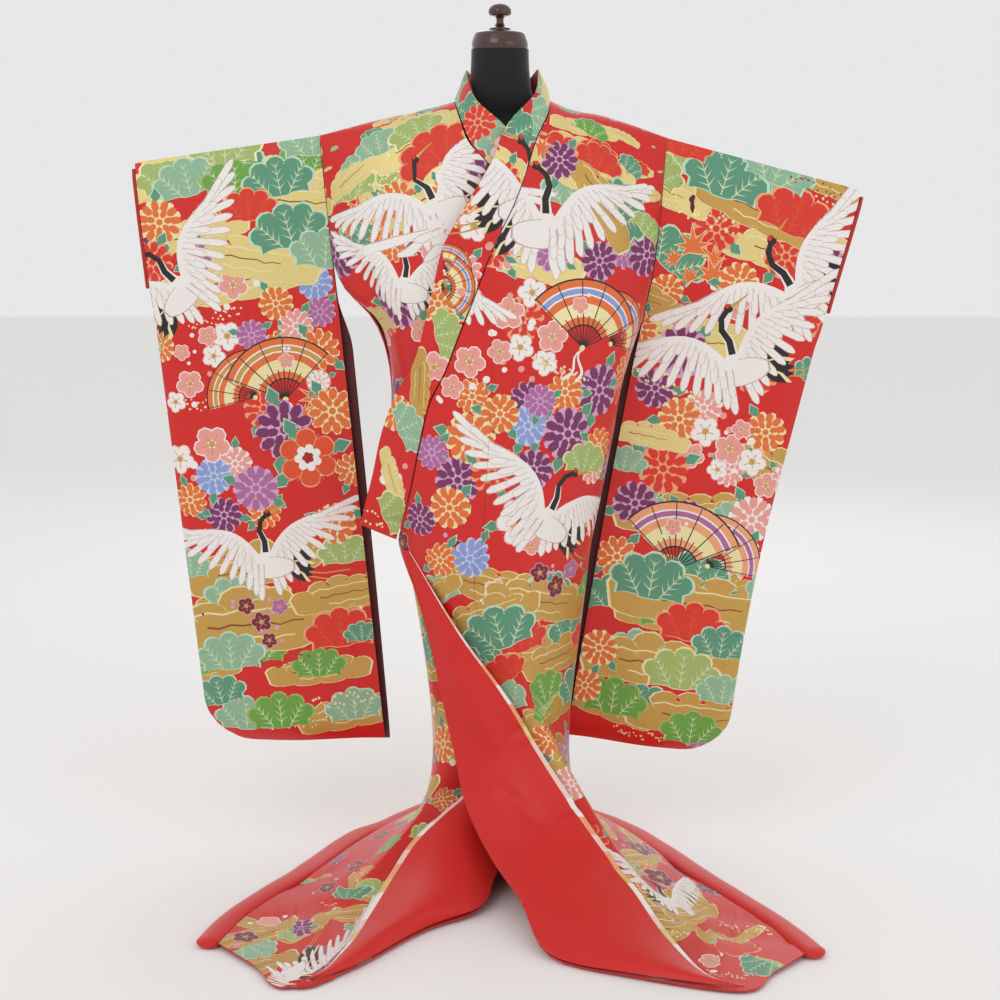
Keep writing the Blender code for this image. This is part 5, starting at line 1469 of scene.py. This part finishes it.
def build_half(half):
    side = "left" if half.top else "right"
    front = sheet_chart(half, 0.0, SIDE_SHARE, 44, (0, -1, 0))
    back = sheet_chart(half, SIDE_SHARE, 1.0, 36, (0, 1, 0))
    press(front, FRONT_CREASES[half.top])
    press(front, TRAIN_CREASES[half.top], (0, 1))
    press(back, BACK_CREASES[half.top])

    def front_start(place):
        if place >= PANEL_TIP_LEVEL:
            return COLLAR_SEAM_SHARE * (1.0 + smooth_step((place - 1.2) / 0.5))
        return half.panel_share(place) + SEAM_SHARE

    tip = PANEL_TIP_LEVEL
    panel_places = [tip - 0.002] + [place for place in SHEET_PLACES if place < tip - 0.01]
    outlines = {
        "front": share_outline(front, 0.0, SIDE_SHARE, front_start, lambda p: SIDE_SHARE - SEAM_SHARE,
                               sorted(SHEET_PLACES + [tip + 0.001, tip - 0.001], reverse=True)),
        "okumi": share_outline(front, 0.0, SIDE_SHARE, lambda p: COLLAR_SEAM_SHARE,
                               lambda p: half.panel_share(p) - SEAM_SHARE, panel_places),
        "back": share_outline(back, SIDE_SHARE, 1.0, lambda p: SIDE_SHARE + SEAM_SHARE,
                              lambda p: 1.0 - SEAM_SHARE, SHEET_PLACES),
    }
    whole = front.size * np.array(((0, 0), (1, 1)))
    train = TRAIN_LEFT_LAYOUT if half.top else TRAIN_RIGHT_LAYOUT
    front_motifs = (background(front, whole, 11 + half.sign) + layout(front, FRONT_LAYOUT, 5)
                    + layout(front, train, 6, (0, 1)))
    whole = back.size * np.array(((0, 0), (1, 1)))
    back_motifs = background(back, whole, 21 + half.sign) + layout(back, BACK_LAYOUT, 7)
    for kind, outline in outlines.items():
        chart, motifs = (back, back_motifs) if kind == "back" else (front, front_motifs)
        piece = add_sheet(f"{kind}_{side}_cloth", chart, outline, near_outline(motifs, outline), CLOTH,
                          "red", "lining")
        carry(piece, "brocade", f"{kind}_{side}")


def carry(piece, slot, *nodes):
    """The piece moves with the one body and stands for its solids; the slot is not used."""
    if nodes:
        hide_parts(*nodes)
    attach(piece, "root")


# Crane on the upper collar, told as in the layouts
COLLAR_CRANE = (("crane", "", 50, 1195, 360, 14),)
# Collar motifs: kind, share across and down, size, turn, mirror, tone
COLLAR_LAYOUT = (("cloud", 0.5, 0.04, 0.12, 90, 1, "light"), ("pine", 0.5, 0.12, 0.10, 80, 1, "sage"),
                 ("maple", 0.5, 0.22, 0.06, 70, 1, "orange"), ("cloud", 0.5, 0.30, 0.13, 70, 1, "light"),
                 ("pine", 0.4, 0.37, 0.10, 60, 1, "sage"), ("mum", 0.5, 0.47, 0.07, 60, 1, "peony"),
                 ("plum", 0.6, 0.55, 0.06, 40, 1, "white"), ("fan", 0.5, 0.63, 0.10, 60, 1, "orange"),
                 ("pine", 0.5, 0.71, 0.10, 60, 1, "leaf"), ("cloud", 0.5, 0.78, 0.14, 60, 1, "deep"),
                 ("pine", 0.5, 0.84, 0.10, 50, 1, "sage"), ("cloud", 0.5, 0.90, 0.12, 60, 1, "light"),
                 ("pine", 0.4, 0.96, 0.10, 60, 1, "leaf"))


def build_collar(half, side):
    rows = collar_rows(half)
    steps = np.arange(len(rows), dtype=float)
    seams = [row[0] for row in rows]
    frees = [row[1] for row in rows]

    def surface(u, v):
        seam = smooth_line(steps, seams, v)[0]
        free = smooth_line(steps, frees, v)[0]
        middle = seam + (free - seam) * u
        if 0 < u < 1 and v > NECK_STEPS:
            on_body = front_place(half, middle[0], middle[2], 0.0)
            middle[1] = min(middle[1], on_body[1])
        return middle

    us = np.linspace(0.022, 1, 9)
    chart = Chart([[surface(u, v) for u in us] for v in np.linspace(0.04, steps[-1], 90)], (0, 1, 0))
    chart.sign = float(half.sign)
    columns_at, rows_at = np.meshgrid(np.arange(chart.count[0]), np.arange(chart.count[1]))
    shell = chart.normals(np.stack((columns_at.ravel(), rows_at.ravel()), axis=1) * chart.step)
    lift = COLLAR_BASE[half.top] + COLLAR_CROWN[half.top] * np.sin(math.pi * us)
    chart.set_points(chart.points + shell.reshape(chart.points.shape) * lift[None, :, None])
    chance = random.Random(31 + half.sign)
    motifs = background(chart, chart.size * np.array(((0, 0), (1, 1))), 41 + half.sign, COLLAR_PITCH)
    for kind, across, down, size, turn, mirror, tone in COLLAR_LAYOUT:
        spot = chart.size * (across, down)
        motifs += lay_motif(chart, kind, tone, spot, size, -turn * half.sign, mirror, chance)
    if half.top:
        motifs += layout(chart, COLLAR_CRANE, 9)
    outline = box_outline(chart.size, 140, 9)
    piece = add_sheet(f"collar_{side}_cloth", chart, outline, near_outline(motifs, outline), COLLAR_CLOTH,
                      "red", "red")
    carry(piece, "brocade", f"collar_{side}")


def build_turn(half, side):
    """Red lining turned outward along the front edge, pressed across in a few places."""
    shares = np.linspace(TURN_START[half.top], half.edge[-1][0] - 0.004, 150)
    grid = [[half.turn_point(share, across, TURN_CLOTH + TURN_SEAT) for across in np.linspace(0, 1, 22)]
            for share in shares]
    chart = Chart(grid, (0, -1, 0.6)).refined(420, 70)
    press(chart, TURN_WAVES[half.top], (0, 2))
    motifs = []
    edge = 1 - WRAPPED_EDGE / chart.size[0]
    chance = random.Random(51)
    for k in range(EDGE_STRIPS):
        low, high = k / EDGE_STRIPS, (k + 1) / EDGE_STRIPS
        half_way = (low + high) / 2
        strip = ((edge, low), (edge, half_way), (edge, high), (1, high), (1, half_way), (1, low))
        motifs.append((chart.size * np.array(strip), choose(chance, EDGE_THREADS)[0]))
    outline = box_outline(chart.size, 120, 16)
    piece = add_sheet(f"turned_lining_{side}", chart, outline, motifs, TURN_CLOTH,
                      "lining", "lining", TURN_PITCH)
    carry(piece, "red_silk", f"lining_turn_{side}")


# Pale strip wrapped round the turned edge: width, how many pieces of thread and their tones by weight
WRAPPED_EDGE = 0.0075
EDGE_STRIPS = 26
EDGE_THREADS = ((4, "white"), (3, "blush"), (2, "light"), (1, "apricot"))
# Mesh pitch fine enough for the lining's creases, and those creases as press reads them
TURN_PITCH = 0.006
TURN_WAVES = {
    True: ((0.020, 0.270, 0.135, 0.345, 0.0055, 0.0060), (0.034, 0.258, 0.149, 0.333, 0.0070, -0.0030),
           (-0.040, 0.420, 0.075, 0.490, 0.0055, 0.0060), (-0.028, 0.408, 0.087, 0.478, 0.0070, -0.0030),
           (0.105, 0.150, 0.190, 0.180, 0.0060, 0.0060), (-0.120, 0.600, -0.060, 0.640, 0.0055, 0.0045),
           (0.000, 0.180, 0.080, 0.130, 0.0120, 0.0050), (0.130, 0.070, 0.270, 0.100, 0.0120, 0.0050),
           (-0.080, 0.380, -0.010, 0.250, 0.0160, -0.0050), (-0.090, 0.560, 0.000, 0.480, 0.0200, 0.0050)),
    False: ((-0.110, 0.330, -0.085, 0.160, 0.0110, 0.0070), (-0.060, 0.280, -0.045, 0.130, 0.0100, 0.0050),
            (-0.200, 0.170, -0.110, 0.110, 0.0090, 0.0050)),
}


# Sleeves

SLEEVE_CREASES = {
    1: ((0.300, 1.270, 0.345, 1.190, 0.014, 0.005), (0.345, 1.235, 0.345, 1.160, 0.010, 0.004),
        (0.430, 1.000, 0.400, 0.700, 0.030, 0.004), (0.300, 0.650, 0.290, 0.420, 0.026, 0.004)),
    -1: ((-0.380, 0.900, -0.360, 0.560, 0.030, 0.004), (-0.520, 1.100, -0.500, 0.850, 0.028, 0.003),
         (-0.460, 0.560, -0.450, 0.360, 0.026, 0.004)),
}


def build_sleeve(table, sign, side, layout_rows):
    sleeve = Sleeve(table, sign)
    corner = [math.radians(90 * k / 12) for k in range(13)]
    for face, name in ((-1, "front"), (1, "back")):
        grid = [[sleeve.point(x, v, face) for x in np.linspace(0, sleeve.width, 30)]
                for v in np.linspace(0.0004, sleeve.length, 100)]
        chart = Chart(grid, (0, face, 0))
        press(chart, SLEEVE_CREASES[sign])
        scale = chart.size / (sleeve.width, sleeve.length)
        across = np.linspace(0, sleeve.width, 34)
        down = np.linspace(0, sleeve.length, 110)
        centre = np.array((sleeve.width - SLEEVE_CORNER, sleeve.length - SLEEVE_CORNER))
        outline = [(0, v) for v in down[:-1]]
        outline += [(x, sleeve.length) for x in across if x < centre[0] - 0.004]
        outline += [tuple(centre + SLEEVE_CORNER * np.array((math.sin(t), math.cos(t)))) for t in corner]
        outline += [(sleeve.width, v) for v in down[::-1] if v < centre[1] - 0.004]
        outline += [(x, 0) for x in across[-2:0:-1]]
        outline = np.array(outline) * scale
        motifs = background(chart, outline, 61 + 3 * sign + face) + layout(chart, layout_rows, 8 + sign)
        # The inside of each sleeve skin takes the lining red darkened as painted shade.
        piece = add_sheet(f"sleeve_{side}_{name}_cloth", chart, outline, near_outline(motifs, outline),
                          CLOTH, "red", "dark_lining")
        carry(piece, "brocade", f"sleeve_{side}_{name}")
    build_mouth(sleeve, side)
    build_furi(sleeve, side)


def loft(rings, sides):
    """Closed mesh of rings that are bridged and capped. Each ring places a point of a unit circle."""
    mesh = bmesh.new()
    last = None
    for place in rings:
        ring = bmesh.ops.create_circle(mesh, cap_ends=False, radius=1.0, segments=sides)["verts"]
        for vert in ring:
            vert.co = place(vert.co.x, vert.co.y)
        edges = list({edge for vert in ring for edge in vert.link_edges})
        if last is None:
            bmesh.ops.contextual_create(mesh, geom=edges)
        else:
            bmesh.ops.bridge_loops(mesh, edges=last + edges)
        last = edges
    bmesh.ops.contextual_create(mesh, geom=last)
    bmesh.ops.recalc_face_normals(mesh, faces=mesh.faces[:])
    return mesh


def tube_piece(name, path, radii, sides, up, tone):
    """Closed soft tube round a path."""
    rings = []
    for i, place in enumerate(path):
        along = unit(path[min(i + 1, len(path) - 1)] - path[max(i - 1, 0)])
        side_on = unit(np.cross(along, up))
        half_width, half_height = radii(i / (len(path) - 1))
        rise = unit(np.cross(side_on, along)) * half_height
        side_on = side_on * half_width
        rings.append(lambda x, y, c=place, a=side_on, b=rise: Vector(c + a * x + b * y))
    return to_piece(name, loft(rings, sides), tone, 60)


def to_piece(name, mesh, tone, sharp):
    data = bpy.data.meshes.new(name)
    mesh.to_mesh(data)
    mesh.free()
    data.shade_smooth()
    data.set_sharp_from_angle(angle=math.radians(sharp))
    if tone in TONES:
        places = np.zeros(len(data.vertices) * 3)
        data.vertices.foreach_get("co", places)
        paint(data, [tone] * len(data.polygons), places.reshape(-1, 3)[:, [0, 2]])
    else:
        data.materials.append(material_of(tone))
    return placed(name, data)


def build_mouth(sleeve, side):
    """Padded red piping round the sleeve mouth."""
    reach = sleeve.width + MOUTH_ROLL_RADIUS + 0.0004
    path = []
    downs = np.linspace(MOUTH_TOP, MOUTH_LENGTH, 40)
    for face, order in ((-1, downs), (1, downs[::-1])):
        for down in order:
            place = sleeve.middle(reach, down)
            half_open = max(sleeve.depth(sleeve.width - 0.001, down) / 2 - 0.001, MOUTH_HALF_OPEN)
            place[1] += face * half_open
            path.append(place)

    def radii(share):
        size = MOUTH_ROLL_RADIUS * (1 - 0.25 * smooth_step((abs(share - 0.5) - 0.46) / 0.04))
        return size, size

    piece = tube_piece(f"mouth_piping_{side}", path, radii, 12, np.array((1.0, 0.0, 0.001)), "piping")
    carry(piece, "red_silk", f"mouth_roll_{side}")


def build_furi(sleeve, side):
    """Red lining facing inside the open inner edge of the sleeve, darkened to deep red as painted shade."""
    grid = [[sleeve.point(x, v, 1) - (0.0, CLOTH + FURI_SEAT[sleeve.sign] + LINING_CLOTH, 0.0)
             for x in np.linspace(FURI_EDGE, FURI_WIDTH, 8)]
            for v in np.linspace(FURI_TOP, sleeve.length - FURI_END_MARGIN, 70)]
    chart = Chart(grid, (0, -1, 0))
    outline = box_outline(chart.size, 70, 6)
    piece = add_sheet(f"sleeve_facing_{side}", chart, outline, [], LINING_CLOTH,
                      "dark_lining", "dark_lining")
    carry(piece, "dark_silk", f"sleeve_lining_{side}")


def build_hem(half, side):
    """Padded red roll along the hem, with soft gathers where it turns."""
    path = []
    half_width = HEM_ROLL_WIDTH / 2 - HEM_ROLL_PLAY
    shares = np.linspace(HEM_ROLL_START, HEM_ROLL_END, 170)
    for share in shares:
        place, inward, _ = half.hem_point(share)
        centre = place + inward * half_width
        path.append(np.array((centre[0], centre[1], HEM_ROLL_HEIGHT / 2 + HEM_ROLL_PLAY)))

    def radii(share):
        gather = 1 - 0.030 * (0.5 + 0.5 * math.sin(41 * share + 2 * math.sin(17 * share)))
        gather *= 1 - 0.45 * smooth_step((abs(share - 0.5) - 0.490) / 0.010)
        return half_width * gather, HEM_ROLL_HEIGHT / 2 * gather

    piece = tube_piece(f"hem_padding_{side}", path, radii, 20, np.array((0.0, 0.0, 1.0)), "lining")
    carry(piece, "red_silk", f"hem_roll_{side}")


def spun(name, profile, finish, sharp=35):
    """Turned piece: a profile of radius and height, spun once about the pole."""
    mesh = bmesh.new()
    verts = [mesh.verts.new((max(radius, 0.0), 0.0, height)) for radius, height in profile]
    edges = [mesh.edges.new(pair) for pair in zip(verts, verts[1:])]
    bmesh.ops.spin(mesh, geom=verts + edges, cent=(0, 0, 0), axis=(0, 0, 1), angle=math.tau, steps=96,
                   use_merge=True, use_duplicate=False)
    bmesh.ops.remove_doubles(mesh, verts=mesh.verts[:], dist=1e-6)
    bmesh.ops.recalc_face_normals(mesh, faces=mesh.faces[:])
    return to_piece(name, mesh, finish, sharp)


def round_profile(knots, count):
    """Smooth profile through a few knots of radius and height, in order."""
    knots = np.array(knots)
    lengths = np.concatenate(([0], np.cumsum(np.linalg.norm(np.diff(knots, axis=0), axis=1))))
    return [tuple(row) for row in smooth_line(lengths, knots, np.linspace(0, lengths[-1], count))]


def build_form():
    heights = [row[0] for row in FORM_RINGS]
    sizes = [row[1:] for row in FORM_RINGS]
    rings = []
    for height in np.linspace(heights[0], heights[-1], 90):
        wide, deep, middle = smooth_line(heights, sizes, height)[0]
        rings.append(lambda x, y, a=wide, b=deep, c=middle, z=height: (x * a, c + y * b, z))
    torso = to_piece("form_velvet", loft(rings, 72), "velvet", 50)
    carry(torso, "black_velvet", "form_torso")
    cap_side = round_profile(CAP_PROFILE[1:-1], 28)[1:]
    cap = spun("form_wood_cap", CAP_PROFILE[:2] + tuple(cap_side) + CAP_PROFILE[-1:], "wood")
    carry(cap, "turned_wood", "form_cap")
    knob = spun("form_wood_knob", KNOB_PROFILE[:2] + tuple(round_profile(KNOB_PROFILE[1:], 60)[1:]), "wood")
    carry(knob, "turned_wood", "form_knob")
    torso_bottom = FORM_RINGS[0][0]
    low = BASE_HEIGHT + 0.0003
    high = torso_bottom - 0.0003
    pole = spun("stand_pole", ((0.0, low), (POLE_RADIUS, low), (POLE_RADIUS, high), (0.0, high)), "steel")
    carry(pole, "stand_metal", "form_pole")
    base = spun("stand_base", ((0.0, 0.0), (BASE_RADIUS, 0.0), (BASE_RADIUS, BASE_HEIGHT * 0.6),
                               (BASE_RADIUS - 0.002, BASE_HEIGHT * 0.85),
                               (BASE_RADIUS - 0.006, BASE_HEIGHT), (0.0, BASE_HEIGHT)), "steel")
    carry(base, "stand_metal", "form_base")


# Materials

def add_node(material, kind, settings=(), links=()):
    """Adds a node with its settings and its links: input name or number, and the socket it reads."""
    node = material.node_tree.nodes.new(kind)
    for key, value in dict(settings).items():
        if hasattr(node, key) and not isinstance(key, int):
            setattr(node, key, value)
        else:
            node.inputs[key].default_value = value
    for key, socket in dict(links).items():
        material.node_tree.links.new(socket, node.inputs[key])
    return node


def two_tone(material, shader, mask, dark, light):
    """Base colour between two tones by a mask."""
    mix = add_node(material, "ShaderNodeMix", {"data_type": "RGBA"}, {0: mask})
    mix.inputs[6].default_value = (*linear(dark), 1)
    mix.inputs[7].default_value = (*linear(light), 1)
    material.node_tree.links.new(mix.outputs[2], shader.inputs["Base Color"])


def relief(material, shader, height, strength, distance):
    """Fine bump from a height, in metres."""
    bump = add_node(material, "ShaderNodeBump", {"Strength": strength, "Distance": distance},
                    {"Height": height})
    material.node_tree.links.new(bump.outputs["Normal"], shader.inputs["Normal"])


# Finish of each cloth: roughness, metallic, sheen, thread pitch in mm, thread slant, bump, tone play
CLOTHS = {
    "satin": (0.42, 0.0, 0.25, 1.5, 0.0, 0.10, 0.10),
    "float": (0.50, 0.0, 0.35, 2.2, 1.0, 0.30, 0.22),
    "gold": (0.36, 0.30, 0.10, 1.8, -1.0, 0.25, 0.20),
    "lining": (0.48, 0.0, 0.30, 1.2, 0.0, 0.06, 0.05),
}


@lru_cache(maxsize=None)
def material_of(name):
    """Material by finish: woven satin ground, silk floats, gold-leaf thread, lining silk and the form's."""
    titles = {"satin": "red satin ground", "float": "silk float brocade", "gold": "gold leaf thread",
              "lining": "plain lining silk", "velvet": "black cotton velvet", "wood": "turned stained walnut",
              "steel": "powder coated steel"}
    material = bpy.data.materials.new(titles[name].replace(" ", "_"))
    material.use_nodes = True
    shader = material.node_tree.nodes["Principled BSDF"]
    link = material.node_tree.links.new
    if name in CLOTHS:
        roughness, metallic, sheen, pitch, slant, bump, play = CLOTHS[name]
        # Woven cloth: lustre comes from long floats, and its colour breaks up thread by thread
        thread = add_node(material, "ShaderNodeAttribute", {"attribute_name": "thread"})
        places = add_node(material, "ShaderNodeUVMap", {"uv_map": "cloth"})
        turned = add_node(material, "ShaderNodeMapping", {"Rotation": (0, 0, slant * math.radians(38))},
                          {"Vector": places.outputs["UV"]})
        # Thread pitch in mm, drawn coarser than the real 0.3 mm so that it shows
        weave = add_node(material, "ShaderNodeTexWave", {"Scale": 0.314 / (pitch / 1000), "Distortion": 1.2,
                                                        "Detail Scale": 2.0, "bands_direction": "Y"},
                         {"Vector": turned.outputs["Vector"]})
        mottle = add_node(material, "ShaderNodeTexNoise", {"Scale": 260.0, "Detail": 3.0, "Roughness": 0.6},
                          {"Vector": places.outputs["UV"]})
        both = add_node(material, "ShaderNodeMath", {"operation": "MULTIPLY"},
                        {0: weave.outputs["Fac"], 1: mottle.outputs["Fac"]})
        level = add_node(material, "ShaderNodeMapRange",
                         {"From Max": 0.6, "To Min": 1.0 - play, "To Max": 1.0 + play * 0.5},
                         {"Value": both.outputs["Value"]})
        tint = add_node(material, "ShaderNodeVectorMath", {"operation": "SCALE"},
                        {0: thread.outputs["Color"], "Scale": level.outputs["Result"]})
        link(tint.outputs["Vector"], shader.inputs["Base Color"])
        relief(material, shader, both.outputs["Value"], bump, 0.0008)
        shader.inputs["Roughness"].default_value = roughness
        shader.inputs["Metallic"].default_value = metallic
        shader.inputs["Sheen Weight"].default_value = sheen
        shader.inputs["Sheen Roughness"].default_value = 0.4
        return material
    place = {"Vector": add_node(material, "ShaderNodeTexCoord").outputs["Object"]}
    if name == "velvet":
        # Short upright pile: near black face on, pale at grazing angles, faintly brushed
        nap = add_node(material, "ShaderNodeTexNoise", {"Scale": 420.0, "Detail": 4.0}, place)
        two_tone(material, shader, nap.outputs["Fac"], "050507", "15161D")
        relief(material, shader, nap.outputs["Fac"], 0.3, 0.0006)
        shader.inputs["Roughness"].default_value = 0.85
        shader.inputs["Sheen Weight"].default_value = 0.6
        shader.inputs["Sheen Roughness"].default_value = 0.35
    elif name == "wood":
        # Dark stained turned wood under varnish: fine grain along the axis, soft sharp-edged gloss
        stretch = add_node(material, "ShaderNodeMapping", {"Scale": (90.0, 90.0, 9.0)}, place)
        grain = add_node(material, "ShaderNodeTexNoise", {"Scale": 3.0, "Detail": 6.0, "Distortion": 0.6},
                         {"Vector": stretch.outputs["Vector"]})
        two_tone(material, shader, grain.outputs["Fac"], "1E0F0B", "54291C")
        shader.inputs["Roughness"].default_value = 0.22
        shader.inputs["Coat Weight"].default_value = 0.6
        shader.inputs["Coat Roughness"].default_value = 0.12
    else:
        # Powder coat on steel: fine orange peel, satin black
        peel = add_node(material, "ShaderNodeTexNoise", {"Scale": 700.0, "Detail": 2.0}, place)
        two_tone(material, shader, peel.outputs["Fac"], "2E2E30", "3C3C3F")
        relief(material, shader, peel.outputs["Fac"], 0.2, 0.0003)
        shader.inputs["Roughness"].default_value = 0.45
        shader.inputs["Metallic"].default_value = 0.3
    return material


# Studio lights: name, place, size in metres and power in watts, all aimed at one place
LIGHTS = (("key", (-1.6, -3.2, 3.2), 2.0, 22.0), ("fill", (2.4, -2.8, 1.8), 2.2, 9.0),
          ("back", (0.4, 3.2, 2.6), 2.4, 18.0))
LIT_PLACE = (0, 0, 0.8)


def build_studio():
    """Camera at the photograph's place, pale floor and soft lights."""
    bpy.context.scene.view_settings.view_transform = "Standard"
    camera = placed("camera", bpy.data.cameras.new("camera"))
    camera.location = (0.0, -3.6, 1.3)
    camera.rotation_euler = (math.radians(80), 0.0, 0.0)
    camera.data.lens = 72.0
    camera.data.sensor_width = 36.0
    camera.data.clip_end = 50.0
    bpy.context.scene.camera = camera
    mesh = bmesh.new()
    bmesh.ops.create_grid(mesh, x_segments=2, y_segments=2, size=12.0)
    data = bpy.data.meshes.new("floor")
    mesh.to_mesh(data)
    mesh.free()
    paper = bpy.data.materials.new("white_studio_floor")
    paper.use_nodes = True
    shader = paper.node_tree.nodes["Principled BSDF"]
    shader.inputs["Base Color"].default_value = (*linear("F4F3F2"), 1)
    shader.inputs["Roughness"].default_value = 0.9
    data.materials.append(paper)
    placed("floor", data)
    world = bpy.data.worlds.new("studio")
    bpy.context.scene.world = world
    world.use_nodes = True
    world.node_tree.nodes["Background"].inputs["Color"].default_value = (1.0, 1.0, 1.0, 1.0)
    world.node_tree.nodes["Background"].inputs["Strength"].default_value = 0.80
    for name, place, size, power in LIGHTS:
        light = placed(name, bpy.data.lights.new(name, "AREA"))
        light.data.size = size
        light.data.energy = power
        light.location = place
        light.rotation_euler = (Vector(LIT_PLACE) - Vector(place)).to_track_quat("-Z", "Y").to_euler()


build_studio()
for top in (True, False):
    half = Half(top)
    side = "left" if top else "right"
    build_half(half)
    build_turn(half, side)
    build_collar(half, side)
    build_hem(half, side)
build_sleeve(SLEEVE_RIGHT, -1, "right", SLEEVE_RIGHT_LAYOUT)
build_sleeve(SLEEVE_LEFT, 1, "left", SLEEVE_LEFT_LAYOUT)
build_form()
